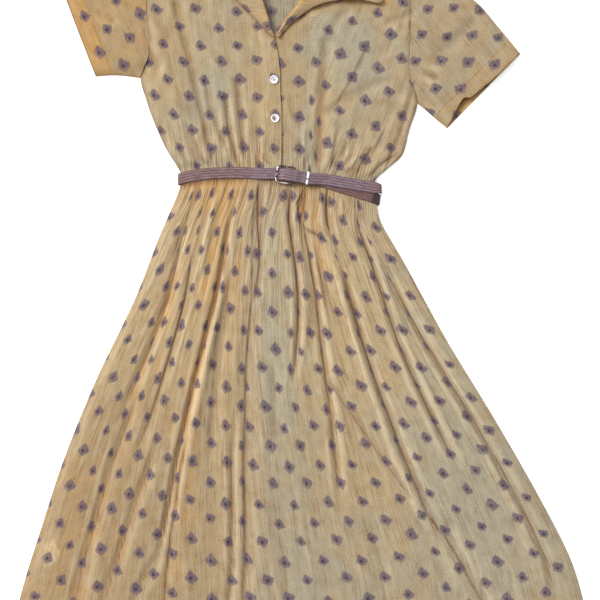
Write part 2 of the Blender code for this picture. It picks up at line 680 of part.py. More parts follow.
def strap_route():
    """One length: from its stitched end under the hinge bar, round the dress, to the tail."""
    rows = [by_buckle(27.0, 1.2), by_buckle(14.0, 1.2), by_buckle(3.5, BUCKLE_Z - LOOP_RADIUS)]
    for degrees in (-90, -125, -160, 160, 125, 90):
        angle = math.radians(degrees)
        rows.append(by_buckle(LOOP_RADIUS * math.cos(angle), BUCKLE_Z + LOOP_RADIUS * math.sin(angle)))
    rows += [by_buckle(4.0, 5.0), by_buckle(10.0, 3.3), by_buckle(26.0, 3.2)]
    rows += [StrapRow(38, 145, strap_z(38) + 0.8, 15), StrapRow(58, 139, strap_z(58), 17),
             StrapRow(90, 129, strap_z(90), 17), StrapRow(118, 120.5, strap_z(118), 16)]
    rows += side_turn(135.2, 114.5, 112, STRAP_MIDDLE, UNDER_MIDDLE, 1.0, 10, 7)
    for x in (100, 0, -100, -180):
        rows.append(StrapRow(x, float(along(UNDER_STRAP, x)), UNDER_MIDDLE, 6.5))
    rows += side_turn(-212.5, 149, 150, UNDER_MIDDLE, STRAP_MIDDLE, -1.0, 4, -3)
    for x, skew in ((-195, -8), (-166, -4), (-130, -2), (-100, 0), (-84, 0)):
        rows.append(StrapRow(x, float(waist_y(x)), strap_z(x), skew))
    rows += [StrapRow(-64, float(waist_y(-64)), BUCKLE_BASE + 0.1, 3)]
    for reach, up in ((-36, 0.2), (-31.5, 0.5), (-28, 2.0), (-24.5, 5.6), (-21, 8.25), (-14, 8.4),
                      (-3.5, 8.2), (1.5, 8.1), (6, 6.7), (12, 5.3), (28, 5.2)):
        rows.append(by_buckle(reach, up, skew=7))
    rows += [StrapRow(40, 148.5, strap_z(40) + 2.9, 8), StrapRow(60, 145.5, strap_z(60) + 2.1, 9),
             StrapRow(90, 140.5, strap_z(90) + 2.1, 10), StrapRow(120, 135.5, strap_z(120) + 2.1, 9)]
    turn = side_turn(136.4, 133.5, 133.5, STRAP_MIDDLE + 2.1, -0.4, 1.0, 8, 4)
    return rows + turn[:5]


def strap_section():
    """The strap's cross-section: ribs on its outer side, rounded edges, and a plain inside."""
    half, thick = BELT_WIDTH / 2, BELT_THICK / 2
    flat = half - 0.7
    outer = []
    for i in range(2 * BELT_RIBS + 1):
        outer.append((between(-flat, flat, i / (2 * BELT_RIBS)), thick - (RIB_DEPTH if i % 2 == 0 else 0.0)))
    return [(-half, 0.0)] + outer + [(half, 0.0), (flat, -thick), (-flat, -thick)]


def make_belt(webbing):
    route = strap_route()
    centres = np.array([row[:3] for row in route])
    skews = np.radians([row.skew for row in route])
    across = np.stack([np.sin(skews), np.cos(skews), np.zeros_like(skews)], axis=1)
    ahead = np.gradient(centres, axis=0)
    ahead = ahead / np.linalg.norm(ahead, axis=1)[:, None]
    outward = np.cross(ahead, across)
    outward = outward / np.linalg.norm(outward, axis=1)[:, None]
    section = strap_section()
    rings = [[c + w * a + n * o for w, n in section] for c, a, o in zip(centres, across, outward)]
    belt = lofted("belt_strap", rings, webbing)
    cut_from(belt, round_bar("prong_slot", by_buckle(0.0, BUCKLE_Z), 3.3, 3.4))
    cut_from(belt, prong_channel())


def cut_from(obj, cutter):
    """Takes a cutter's shape out of an object; the cutter itself isn't part of the dress."""
    cutter.hide_render = True
    cutter.display_type = "WIRE"
    cut = obj.modifiers.new(cutter.name, "BOOLEAN")
    cut.operation = "DIFFERENCE"
    cut.object = cutter
    cut.solver = "EXACT"


def circle(radius, sides):
    angles = np.arange(sides) * 2.0 * math.pi / sides
    return [(radius * math.cos(a), radius * math.sin(a)) for a in angles]


def round_bar(name, row, radius, length):
    """A plain bar across the belt at a strap row."""
    turn = math.radians(BUCKLE_TURN)
    across = np.array([-math.sin(turn), math.cos(turn), 0.0])
    ahead = np.array([math.cos(turn), math.sin(turn), 0.0])
    centre = np.array([row.x, row.y, row.z])
    up = np.array([0.0, 0.0, 1.0])
    rings = [[centre + across * end + ahead * a + up * b for a, b in circle(radius, 24)]
             for end in (-length / 2, length / 2)]
    return lofted(name, rings, STEEL)


def prong_path():
    """From under the hinge bar, round it and over the tail to the frame's outer bar."""
    reach = HINGE_WIRE + 0.25 + PRONG_WIRE
    points = [(reach * math.cos(math.radians(a)), BUCKLE_Z + reach * math.sin(math.radians(a)))
              for a in (-130, -90, -50, -10, 30, 60, 90)]
    far = -2.0 * BUCKLE_HALF_WIDTH
    return points + [(-8.0, 5.75), (-20.0, 6.1), (far + 3.0, 5.95), (far - 0.6, 5.75), (far - 2.6, 5.2)]


def tube_rings(path, radii, sides):
    """Round rings along a path in the buckle's own upright plane."""
    path = np.array(path)
    run = np.gradient(path, axis=0)
    run = run / np.linalg.norm(run, axis=1)[:, None]
    rings = []
    for (reach, up), (dx, dz), radius in zip(path, run, radii):
        rings.append([(reach - dz * a, b, up + dx * a) for a, b in circle(radius, sides)])
    return rings


def hinge_place():
    row = by_buckle(0.0, 0.0)
    return (row.x, row.y, row.z)


def prong_channel():
    """The hole in the tail, just inside the frame's outer bar, as long as the slanting prong needs."""
    path = [(-20.5, 6.09), (-24.0, 6.04), (-27.0, 6.0), (-29.5, 5.97)]
    return lofted("prong_hole", tube_rings(path, [PRONG_WIRE + 0.35] * 4, 12), STEEL, hinge_place(),
                  BUCKLE_TURN)


def make_prong(steel):
    path = prong_path()
    radii = [PRONG_WIRE] * (len(path) - 1) + [0.55 * PRONG_WIRE]
    lofted("buckle_prong", tube_rings(path, radii, 10), steel, hinge_place(), BUCKLE_TURN)


def rounded_loop(half_width, half_height, corner, steps):
    """A rounded rectangle's line, with the outward direction at each point."""
    points = []
    for sx, sy, start in ((1, 1, 0), (-1, 1, 90), (-1, -1, 180), (1, -1, 270)):
        for i in range(steps + 1):
            angle = math.radians(start + 90.0 * i / steps)
            points.append((sx * (half_width - corner) + corner * math.cos(angle),
                           sy * (half_height - corner) + corner * math.sin(angle),
                           math.cos(angle), math.sin(angle)))
    return points


def make_frame(steel):
    """The buckle's frame: round wire, thinner on the side where the strap and the prong turn."""
    rings = []
    for x, y, out_x, out_y in rounded_loop(BUCKLE_HALF_WIDTH, BUCKLE_HALF_HEIGHT, BUCKLE_CORNER, 6):
        hinge = x > BUCKLE_HALF_WIDTH - 0.01
        wire = HINGE_WIRE if hinge else between(BUCKLE_WIRE, HINGE_WIRE, smooth((x - 9.0) / 8.0))
        rings.append([(x + out_x * a, y + out_y * a, b) for a, b in circle(float(wire), 10)])
    lofted("buckle_frame", rings, steel, (BUCKLE_X, BUCKLE_Y, BUCKLE_BASE + BUCKLE_Z), BUCKLE_TURN,
           closed=True)


def make_keeper(steel):
    """A flat metal loop round the strap and the tail beside the buckle."""
    low, high = 0.1, 7.1
    middle = (low + high) / 2 - KEEPER_WIRE / 2
    half_height = (high - low + KEEPER_WIRE) / 2
    half_width = BELT_WIDTH / 2 + 1.6
    rings = []
    for across, up, out_a, out_u in rounded_loop(half_width, half_height, 1.6, 4):
        ring = []
        for side, depth in ((-1, -1), (1, -1), (1, 1), (-1, 1)):
            reach = depth * KEEPER_WIRE / 2
            ring.append((side * KEEPER_WIDTH / 2, across + out_a * reach, up + out_u * reach))
        rings.append(ring)
    row = by_buckle(KEEPER_ALONG, 0.0)
    lofted("belt_keeper", rings, steel, (row.x, row.y, BUCKLE_BASE + middle), BUCKLE_TURN, closed=True)


# ---------------------------------------------------------------- buttons

def make_button(name, x, y, tilt, shell):
    """A turned button with a raised rim and four thread holes."""
    profile = [(0.0, 0.9), (4.6, 1.0), (5.4, 1.9), (6.4, 2.6), (7.3, 2.2), (7.5, 1.4), (6.6, 0.4),
               (4.0, 0.0), (0.0, 0.0)]
    bm = bmesh.new()
    verts = [bm.verts.new((r * MM, 0.0, z * MM)) for r, z in profile]
    edges = [bm.edges.new(pair) for pair in zip(verts, verts[1:])]
    bmesh.ops.spin(bm, geom=verts + edges, cent=(0, 0, 0), axis=(0, 0, 1), angle=2 * math.pi, steps=18,
                   use_merge=True)
    bmesh.ops.remove_doubles(bm, verts=bm.verts, dist=1e-6)
    around = [(x + r * math.cos(a), y + r * math.sin(a)) for r in (0.0, 5.0, BUTTON_RADIUS)
              for a in np.arange(0, 2 * math.pi, math.pi / 6)]
    rest = max(float(ground(px, py)) for px, py in around)
    lift = BUTTON_RADIUS * math.sin(math.radians(abs(tilt)))
    button = finish_object(name, bm, shell, (x, y, rest + SEAM_GAP + lift))
    button.rotation_euler = (math.radians(tilt), 0.0, 0.0)
    cutter = bmesh.new()
    for angle in (45, 135, 225, 315):
        a = math.radians(angle)
        made = bmesh.ops.create_cone(cutter, cap_ends=True, segments=6, radius1=BUTTON_HOLE * MM,
                                     radius2=BUTTON_HOLE * MM, depth=6 * MM)
        bmesh.ops.translate(cutter, verts=made["verts"],
                            vec=(BUTTON_HOLE_OUT * math.cos(a) * MM, BUTTON_HOLE_OUT * math.sin(a) * MM, 0))
    holes = finish_object(name + "_holes", cutter, shell, (x, y, rest + SEAM_GAP + lift))
    holes.rotation_euler = button.rotation_euler
    cut_from(button, holes)


# ---------------------------------------------------------------- the dress

for old in list(bpy.data.objects):
    bpy.data.objects.remove(old, do_unlink=True)

CLOTH = plain_material("crinkled_cloth", (0.52, 0.38, 0.20), 0.85)
WEBBING = plain_material("mauve_strap", (0.22, 0.12, 0.15), 0.8)
STEEL = plain_material("polished_metal", (0.75, 0.75, 0.77), 0.2, 1.0)
SHELL = plain_material("pearly_button", (0.80, 0.80, 0.80), 0.25)

make_skirt(CLOTH)
make_bodice(CLOTH)
make_sleeves(CLOTH)
make_collar(CLOTH)
make_belt(WEBBING)
make_frame(STEEL)
make_prong(STEEL)
make_keeper(STEEL)
make_button("button_1", -47.0, 323.0, 6.0, SHELL)
make_button("button_2", -45.0, 255.5, 0.0, SHELL)
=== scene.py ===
# %% [markdown]
# # A belted shirt dress, laid flat
# This lesson dresses a plain solid model of a shirt dress: thin crinkled cloth with a print of small
# soft squares, a ribbed belt and a few metal and shell fittings. The dress lies face up on a pale
# surface, and the camera looks straight down on it, as one photographs clothes for a catalogue.
# The solid model is loaded first. It fixes every size and place, so the cloth made here only has to
# lie on it and be finer than it.

# %% Load the solid model
import math
from collections import namedtuple

import bmesh
import bpy
import numpy as np
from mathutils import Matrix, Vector


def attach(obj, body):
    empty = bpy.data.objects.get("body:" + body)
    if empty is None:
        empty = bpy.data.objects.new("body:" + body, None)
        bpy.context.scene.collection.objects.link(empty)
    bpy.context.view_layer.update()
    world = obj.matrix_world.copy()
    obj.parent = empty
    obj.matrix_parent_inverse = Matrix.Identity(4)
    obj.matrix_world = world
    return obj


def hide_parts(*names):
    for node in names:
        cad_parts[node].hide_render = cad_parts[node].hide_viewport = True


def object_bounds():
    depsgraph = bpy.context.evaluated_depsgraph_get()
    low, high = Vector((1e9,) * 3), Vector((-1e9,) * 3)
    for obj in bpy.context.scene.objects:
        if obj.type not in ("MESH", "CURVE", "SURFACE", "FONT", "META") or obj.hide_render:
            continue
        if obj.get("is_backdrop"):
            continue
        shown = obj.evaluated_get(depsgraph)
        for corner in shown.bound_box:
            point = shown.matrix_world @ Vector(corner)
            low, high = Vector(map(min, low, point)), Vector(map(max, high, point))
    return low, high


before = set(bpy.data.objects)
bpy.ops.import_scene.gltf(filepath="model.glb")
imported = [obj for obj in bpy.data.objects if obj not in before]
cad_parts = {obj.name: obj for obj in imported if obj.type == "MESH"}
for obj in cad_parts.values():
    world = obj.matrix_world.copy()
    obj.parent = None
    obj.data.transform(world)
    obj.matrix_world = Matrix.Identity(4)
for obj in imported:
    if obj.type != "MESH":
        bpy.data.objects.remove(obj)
CAD_BOX = [list(corner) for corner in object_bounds()]
bpy.ops.object.select_all(action="DESELECT")
print("solid model:", sorted(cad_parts))

# %% [markdown]
# ## Camera, light and floor
# Clothes laid on a table are photographed from straight above, from far enough that the sides don't
# lean out. The light is one broad soft source from the upper left, which draws the folds, and an even
# white surround, which keeps their shadows open. The floor is a plain pale sheet a hair under the
# dress. It glows a little, as a light table does, so the dress stands almost free on white.

# %% Camera
MM = 0.001
LAID_MIDDLE_Y = 8.5         # the middle of the laid dress, in the millimetres of the tables below
VIEW_CENTRE = (-1.75, -62.1)
VIEW_WIDTH = 1.05
VIEW_HEIGHT = 2.6
SHOWN_HEIGHT = 0.008        # height of the cloth that fills the view's width

camera_data = bpy.data.cameras.new("camera")
camera_data.sensor_width = 36.0
camera_data.lens = 36.0 * (VIEW_HEIGHT - SHOWN_HEIGHT) / VIEW_WIDTH
camera = bpy.data.objects.new("camera", camera_data)
camera.location = (VIEW_CENTRE[0] * MM, (VIEW_CENTRE[1] - LAID_MIDDLE_Y) * MM, VIEW_HEIGHT)
bpy.context.scene.collection.objects.link(camera)
bpy.context.scene.camera = camera
print("camera lens", round(camera_data.lens, 1), "mm")

# %% [markdown]
# Every material is a small tree of nodes, and so is the light of the surround. A few helpers keep that
# short: they add a node, fill its inputs with numbers or with other nodes' sockets, and do one step of
# arithmetic at a time.

# %% Helpers for node trees
def wire(tree, node, inputs):
    """Fills a node's inputs with numbers, colours or other sockets."""
    for key, value in inputs.items():
        if isinstance(value, bpy.types.NodeSocket):
            tree.links.new(value, node.inputs[key])
        else:
            node.inputs[key].default_value = value
    return node


def add(tree, kind, inputs=None, **settings):
    """Adds a node, sets its options and fills its inputs."""
    node = tree.nodes.new("ShaderNode" + kind)
    for key, value in settings.items():
        setattr(node, key, value)
    return wire(tree, node, inputs or {})


def sum_up(tree, operation, a, b=0.0, c=0.0):
    """One step of arithmetic, as a socket."""
    return add(tree, "Math", {0: a, 1: b, 2: c}, operation=operation).outputs[0]


def times(tree, a, b):
    return sum_up(tree, "MULTIPLY", a, b)


def scaled(tree, a, b, c):
    """a times b, plus c."""
    return sum_up(tree, "MULTIPLY_ADD", a, b, c)


def ramp(tree, value, low, high, out_low=0.0, out_high=1.0):
    """Eases a value from one range to another, as a socket."""
    limits = {"Value": value, "From Min": low, "From Max": high, "To Min": out_low, "To Max": out_high}
    return add(tree, "MapRange", limits, interpolation_type="SMOOTHSTEP").outputs["Result"]


def blend(tree, share, first, second):
    """Mixes two colours, as a socket."""
    return add(tree, "Mix", {0: share, 6: first, 7: second}, data_type="RGBA").outputs[2]


def noise(tree, place, scale, detail, **more):
    """Soft noise from 0 to 1, as a socket; a pair of scales draws it out in one direction."""
    if isinstance(scale, tuple):
        place = add(tree, "VectorMath", {0: place, 1: (*scale, 1.0)}, operation="MULTIPLY").outputs[0]
        scale = 1.0
    return add(tree, "TexNoise", {"Vector": place, "Scale": scale, "Detail": detail, **more}).outputs["Fac"]


def painted(tree, label):
    """A value painted on a piece's points, as a socket."""
    return add(tree, "Attribute", attribute_name=label).outputs["Fac"]


def new_material(name):
    """A new material, its tree and its shader."""
    material = bpy.data.materials.new(name)
    material.use_nodes = True
    return material, material.node_tree, material.node_tree.nodes["Principled BSDF"]


# %% Light and floor
SUN_STRENGTH, SUN_ANGLE, SUN_WAY = 2.82, 22.0, (-0.95, 0.75, 1.15)
SURROUND, WINDOW = 0.32, 1.7        # brightness of the room, and of the wide soft source
WINDOW_WAY, WINDOW_EDGES = (-0.5, 0.55, 0.75), (0.3, 0.95)
FLOOR_SIZE, FLOOR_DROP, FLOOR_GLOW = 8.0, 0.0003, 0.4

bpy.context.scene.view_settings.view_transform = "Standard"
world = bpy.data.worlds.new("white surround")
world.use_nodes = True
tree = world.node_tree
direction = add(tree, "TexCoord").outputs["Generated"]
toward = add(tree, "VectorMath", {0: direction, 1: Vector(WINDOW_WAY).normalized()},
             operation="DOT_PRODUCT")
glow = ramp(tree, toward.outputs["Value"], *WINDOW_EDGES, SURROUND, WINDOW)
wire(tree, tree.nodes["Background"], {"Color": (1.0, 0.99, 0.97, 1.0), "Strength": glow})
bpy.context.scene.world = world

sun_data = bpy.data.lights.new("soft window", "SUN")
sun_data.energy = SUN_STRENGTH
sun_data.angle = math.radians(SUN_ANGLE)
sun_data.color = (1.0, 0.985, 0.96)
sun = bpy.data.objects.new("soft window", sun_data)
sun.rotation_euler = Vector(SUN_WAY).to_track_quat("Z", "Y").to_euler()
bpy.context.scene.collection.objects.link(sun)

bpy.ops.mesh.primitive_plane_add(size=FLOOR_SIZE, location=(0, 0, -FLOOR_DROP))
floor = bpy.context.object
floor.name = "pale_floor"
floor.select_set(False)
paper, tree, shader = new_material("pale_paper")
wire(tree, shader, {"Base Color": (0.96, 0.96, 0.96, 1), "Roughness": 0.9,
                    "Emission Color": (1, 1, 1, 1), "Emission Strength": FLOOR_GLOW})
floor.data.materials.append(paper)
floor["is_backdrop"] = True
print("light and floor are set")

# %% [markdown]
# ## Small tools
# The cloth's shape is worked out with numpy on whole grids of points at once. `smooth` and `between`
# ease from one value to another, `bell` and `fade` die away with distance, `through` draws a smooth
# curve through the rows of a table, and `cloudy` is a gentle noise that is the same on every run, which
# makes small wrinkles uneven. `double_edge` is what a turned hem and a folded band have in common.

# %% Easing, curves and steady noise
def smooth(share):
    share = np.clip(share, 0.0, 1.0)
    return share * share * (3.0 - 2.0 * share)


def between(start, end, share):
    return start + (end - start) * share


def bell(away, width):
    """1 at no distance, less to both sides."""
    return np.exp(-(away / width) ** 2)


def fade(away, reach):
    """1 up to a line, and less beyond it."""
    return np.exp(-np.maximum(away, 0.0) / reach)


def named(kind, rows):
    """Table rows whose columns have names."""
    return [kind(*row) for row in rows]


def along(points, x):
    """The y of a short line of (x, y) points at x."""
    return np.interp(x, [p[0] for p in points], [p[1] for p in points])


def through(rows, station):
    """A smooth curve through table rows, read at a station counted in rows."""
    rows = np.asarray(rows, dtype=float)
    last = len(rows) - 1
    i = min(int(math.floor(station)), last - 1)
    t = station - i
    before, start, end, after = rows[max(i - 1, 0)], rows[i], rows[i + 1], rows[min(i + 2, last)]
    return 0.5 * (2 * start + (end - before) * t + (2 * before - 5 * start + 4 * end - after) * t ** 2
                  + (after - before + 3 * start - 3 * end) * t ** 3)


def walked_along(points):
    """The distance walked from the first point of a line to each."""
    return np.concatenate([[0.0], np.cumsum(np.linalg.norm(np.diff(points, axis=0), axis=1))])


def dice(i, j, seed):
    """A steady random number from 0 to 1 for each cell of a lattice."""
    wave = np.sin(i * 127.1 + j * 311.7 + seed * 74.7) * 43758.5453
    return wave - np.floor(wave)


def cloudy(u, v, seed):
    """Smooth noise from -1 to 1, one wave to a cell."""
    i, j = np.floor(u), np.floor(v)
    fu, fv = smooth(u - i), smooth(v - j)
    low = between(dice(i, j, seed), dice(i + 1, j, seed), fu)
    high = between(dice(i, j + 1, seed), dice(i + 1, j + 1, seed), fu)
    return 2.0 * between(low, high, fv) - 1.0


def slanting(x, y, lean, size, seed):
    """Smooth noise whose waves, of a size across and along, lean over the plan."""
    return cloudy((x + lean * y) / size[0], (y - lean * x) / size[1], seed)


def double_edge(to_edge, depth, fall, sewn_in, width):
    """How doubled the cloth is within a depth of its edge, and how near it is to the sewn line."""
    return smooth((depth - to_edge) / fall + 1.0), bell(to_edge - depth + sewn_in, width)


# %% [markdown]
# ## The cut of the dress
# A dressmaker's pattern gives each panel as widths at a few heights. These tables do the same for the
# dress as it lies, in millimetres: x to the right, y toward the collar. They are the solid model's own
# numbers, so the fine cloth and the plain solids agree. Each section is a line across a panel, from its
# left edge to its right edge.

# %% Sections of the panels
Section = namedtuple("Section", "left_x left_y right_x right_y")
SKIRT = named(Section, [
    (-210, 151, 130, 133), (-211, 139, 131, 115), (-221, 112, 134, 98), (-250, 45, 142, 70),
    (-292, -62, 181, 3), (-359, -202, 255, -132), (-416, -342, 340, -272), (-462, -482, 420, -412),
    (-484, -552, 474, -520), (-500, -612, 500, -610),
])
TOP_FRONT = named(Section, [
    (-210, 151, -35, 157), (-213, 165, -35, 176), (-236, 202, -34, 214), (-257, 248, -34, 258),
    (-272, 290, -36, 300), (-281, 327, -37, 337), (-268, 362, -41, 372), (-266, 393, -47, 400),
    (-270, 442, -61, 445), (-271, 498, -77, 498), (-270, 547, -98, 556), (-267, 589, -135, 620),
])
UNDER_FRONT = named(Section, [
    (-58, 157, 130, 133), (-58, 178, 131, 149), (-58, 212, 154, 170), (-58, 245, 178, 193),
    (-58, 278, 190, 236), (-58, 315, 204, 283), (-58, 355, 192, 322), (-51, 398, 189, 358),
    (-28, 430, 191, 402), (-2, 466, 191, 445), (12, 510, 187, 484), (46, 603, 182, 529),
])
UNDERARM_ROW, NECK_ROW = 5, 7
BACK_NECK = [(0.0, 0), (0.15, 25), (0.294, 49), (0.38, 41), (0.49, 47), (0.6, 53), (0.697, 56),
             (0.85, 28), (1.0, 0)]
SLEEVE_RIGHT = named(Section, [
    (-281, 327, -267, 589), (-308, 331, -322, 575), (-335, 332, -378, 547), (-360, 330, -429, 510),
])
SLEEVE_LEFT = named(Section, [
    (204, 283, 182, 529), (223, 267, 247, 501), (240, 252, 306, 462), (249, 245, 347, 416),
    (256, 239, 385, 370),
])
CollarRow = namedtuple("CollarRow", "roll_x roll_y edge_x edge_y stand seam_out edge_lift")
COLLAR = named(CollarRow, [
    (-46, 398, -50, 397, 2.5, 1.0, 0.0), (-51, 409, -61, 409, 4.0, 2.0, 0.0),
    (-56, 426, -82, 430, 5.0, 3.0, 0.3), (-64, 452, -112, 461, 6.0, 4.0, 0.5),
    (-73, 481, -148, 497, 7.0, 5.0, 0.8), (-84, 515, -186, 536, 8.0, 6.0, 1.2),
    (-94, 546, -179, 562, 9.5, 8.0, 1.0), (-100, 572, -166, 594, 12.0, 11.0, 0.6),
    (-96, 594, -138, 625, 18.0, 6.0, 0.3), (-75, 606, -96, 643, 20.0, -3.0, 0.3),
    (-46, 610, -46, 650, 21.0, -6.0, 0.3), (-14, 607, 8, 643, 20.0, -3.0, 0.3),
    (9, 596, 54, 623, 18.0, 6.0, 0.3), (19, 575, 92, 580, 13.0, 18.0, 1.0),
    (18, 551, 118, 518, 11.0, 12.0, 3.0), (15, 526, 143, 459, 10.0, 6.0, 6.0),
    (11, 497, 98, 462, 9.0, 5.0, 7.0), (4, 470, 52, 459, 8.0, 4.0, 6.0),
    (-10, 446, 18, 447, 6.5, 3.0, 3.5), (-27, 425, -13, 425, 5.0, 3.0, 1.5),
    (-38, 409, -29, 408, 4.0, 2.0, 0.3), (-43, 398, -39, 396, 2.5, 1.0, 0.0),
])
LEFT_WING, RIGHT_WING = COLLAR[:6], COLLAR[:-8:-1]      # each from the closure outward
print("sections:", len(SKIRT), "skirt,", len(TOP_FRONT), "each front,", len(COLLAR), "collar")

# %% [markdown]
# ## Folds and creases
# The skirt is gathered into the waist and its folds fan out to the hem. Each row of the fold table
# follows one fold, as shares of the way down and across. A positive height is a ridge, and a negative
# one takes away a share of the cloth's height. `over` says which side of the fold lies on top, 1 for
# the right side and -1 for the left, because a pressed fold is a step and not a ditch. `tuck` is the
# share of the gathered width that is hidden inside that fold.

# %% Folds of the skirt
Fold = namedtuple("Fold", "down_from down_to across_from across_mid across_to half_width height over tuck")
SKIRT_FOLDS = named(Fold, [
    (0.06, 0.58, 0.085, 0.116, 0.090, 8, -0.55, 1, 1.0),
    (0.15, 0.66, 0.155, 0.177, 0.148, 7, -0.45, -1, 0.5),
    (0.04, 0.24, 0.195, 0.207, 0.204, 7, 4.0, 0, 0.0),
    (0.46, 1.05, 0.128, 0.104, 0.100, 10, -0.55, 1, 0.6),
    (0.58, 1.05, 0.204, 0.166, 0.148, 9, -0.50, 1, 0.4),
    (0.54, 1.05, 0.268, 0.254, 0.262, 8, -0.45, -1, 0.3),
    (0.84, 1.05, 0.235, 0.206, 0.185, 9, -0.45, 1, 0.0),
    (0.03, 0.92, 0.307, 0.262, 0.232, 6, -0.80, 1, 1.3),
    (0.07, 0.90, 0.324, 0.280, 0.250, 9, 5.0, 0, 0.0),
    (0.11, 0.70, 0.300, 0.317, 0.318, 9, -0.40, 0, 0.3),
    (0.00, 0.30, 0.381, 0.432, 0.400, 11, -0.55, -1, 0.0),
    (0.24, 1.05, 0.402, 0.396, 0.397, 12, -0.50, -1, 1.2),
    (0.52, 1.05, 0.366, 0.371, 0.370, 6, -0.45, -1, 0.3),
    (0.50, 1.05, 0.384, 0.386, 0.385, 8, 2.5, 0, 0.0),
    (0.40, 0.62, 0.470, 0.468, 0.466, 9, -0.30, 0, 0.0),
    (0.70, 1.05, 0.455, 0.470, 0.485, 14, -0.30, 0, 0.0),
    (0.00, 0.48, 0.562, 0.568, 0.515, 6, -0.70, -1, 1.0),
    (0.03, 0.44, 0.585, 0.588, 0.538, 9, 4.0, 0, 0.0),
    (0.07, 0.76, 0.640, 0.615, 0.586, 7, -0.60, -1, 1.2),
    (0.10, 0.74, 0.658, 0.632, 0.604, 9, 3.0, 0, 0.0),
    (0.00, 0.13, 0.753, 0.751, 0.748, 6, -0.70, -1, 0.0),
    (0.13, 0.30, 0.670, 0.663, 0.657, 6, -0.35, 0, 0.0),
    (0.15, 0.83, 0.747, 0.745, 0.767, 7, -0.70, -1, 1.0),
    (0.16, 0.82, 0.729, 0.727, 0.749, 10, 4.5, 0, 0.0),
    (0.76, 1.05, 0.772, 0.805, 0.850, 13, -0.60, -1, 0.2),
    (0.42, 0.74, 0.600, 0.684, 0.745, 10, -0.35, -1, 0.2),
    (0.05, 0.68, 0.893, 0.850, 0.864, 7, -0.70, -1, 0.9),
    (0.08, 0.66, 0.911, 0.868, 0.882, 9, 4.0, 0, 0.0),
    (0.13, 1.05, 0.900, 0.950, 0.946, 8, -0.65, 1, 0.6),
    (0.74, 1.05, 0.640, 0.646, 0.655, 15, -0.35, 0, 0.0),
])
print(len(SKIRT_FOLDS), "folds")

# %% Creases of the bodice and the sleeves
Crease = namedtuple("Crease", "x0 y0 x1 y1 x2 y2 half_width cut over")
BODICE_CREASES = named(Crease, [
    (-272, 425, -264, 375, -254, 345, 7, 0.50, 1), (-219, 456, -182, 304, -154, 190, 8, 0.50, 1),
    (-165, 321, -159, 274, -133, 210, 7, 0.40, 1), (-133, 288, -129, 242, -111, 172, 6, 0.60, -1),
    (-114, 321, -110, 274, -102, 195, 7, 0.50, -1), (-24, 292, -17, 268, -2, 246, 8, 0.35, 0),
    (42, 388, 35, 288, 30, 174, 9, 0.55, 0), (137, 318, 70, 288, 50, 268, 9, 0.45, 0),
    (77, 442, 58, 423, 49, 395, 8, 0.40, 0), (195, 442, 177, 431, 156, 425, 7, 0.35, 0),
    (121, 200, 110, 184, 98, 164, 7, 0.50, -1), (156, 188, 137, 174, 121, 156, 6, 0.50, -1),
    (199, 311, 175, 227, 156, 179, 8, 0.50, 1),
])
SLEEVE_CREASES = named(Crease, [
    (-380, 466, -362, 443, -332, 426, 8, 0.40, 0), (-297, 468, -287, 446, -282, 425, 8, 0.35, 0),
    (300, 420, 270, 390, 240, 364, 13, 0.50, 0), (196, 341, 214, 336, 235, 327, 7, 0.50, 0),
    (212, 300, 222, 286, 234, 276, 6, 0.45, 0),
])
print(len(BODICE_CREASES) + len(SLEEVE_CREASES), "creases")

# %% [markdown]
# ## How high the cloth lies
# Loose cloth stands up from the layer below it by a low crown, rolls down to the side seams, ripples
# where the waist gathers it, and dips at its folds. A strap presses it flat. All of this is one height
# for each point of the plan, the same as in the solid model, so the cloth lies on its solid's form.

# %% Heights shared with the solid model
BACK_WALL, FRONT_WALL, SLEEVE_WALL, COLLAR_WALL = 1.2, 1.6, 1.2, 1.6
SEAM_GAP, COLLAR_GAP = 0.35, 0.7
LAP_RISE = 2.2
BELT_LIFT, BED_RISE = 2.0, 6.0
SKIRT_CROWN, BODICE_CROWN, SLEEVE_CROWN = 8.0, 6.0, 7.5
EDGE_ROLL = 13.0
GATHER_HEIGHT, GATHER_FADE = 2.4, 42.0
WAIST_ARCH, WAIST_ARCH_LESS, HEM_ARCH = 17.0, 4.6, 21.0
LIFT_HALF, LIFT_FADE = 44.0, 34.0           # how far to each side the strap below lifts the dress
BED_EDGE, BED_ROLL = 2.0, 40.0
TAIL_PRESS, LOW_PRESS = (13.0, 16.0), (18.0, 18.0)      # half width of the pressed stripe, and its fade
CLOSURE_MIDDLE, CLOSURE_FLAT = -46.0, (18.0, 20.0)
ARMHOLE_OPENS, SHOULDER_ROLL = 45.0, 16.0
LAP_FROM, LAP_WIDTH, LAP_TOP, LAP_FADE = -80.0, 17.0, 402.0, 30.0
LAP_EDGE = -33.0
SKIRT_GATHERS, BODICE_GATHERS = 19, 17
LOW_STRAP = [(-12, 154), (12, 150), (33, 146), (77, 133), (118, 120.5), (137, 114.5)]
UNDER_STRAP = [(-212, 149), (137, 109)]


def waist_share(x):
    return (x - SKIRT[0].left_x) / (SKIRT[0].right_x - SKIRT[0].left_x)


def waist_arch(x):
    share = np.clip(waist_share(x), 0.0, 1.0)
    return (WAIST_ARCH - WAIST_ARCH_LESS * share) * (1.0 - np.abs(2.0 * share - 1.0) ** 3)


def waist_y(x):
    return between(SKIRT[0].left_y, SKIRT[0].right_y, waist_share(x)) + waist_arch(x)


def side_edges(y):
    left = [(row.left_y, row.left_x) for row in SKIRT[::-1] + TOP_FRONT]
    right = [(row.right_y, row.right_x) for row in SKIRT[::-1] + UNDER_FRONT]
    return along(left, y), along(right, y)


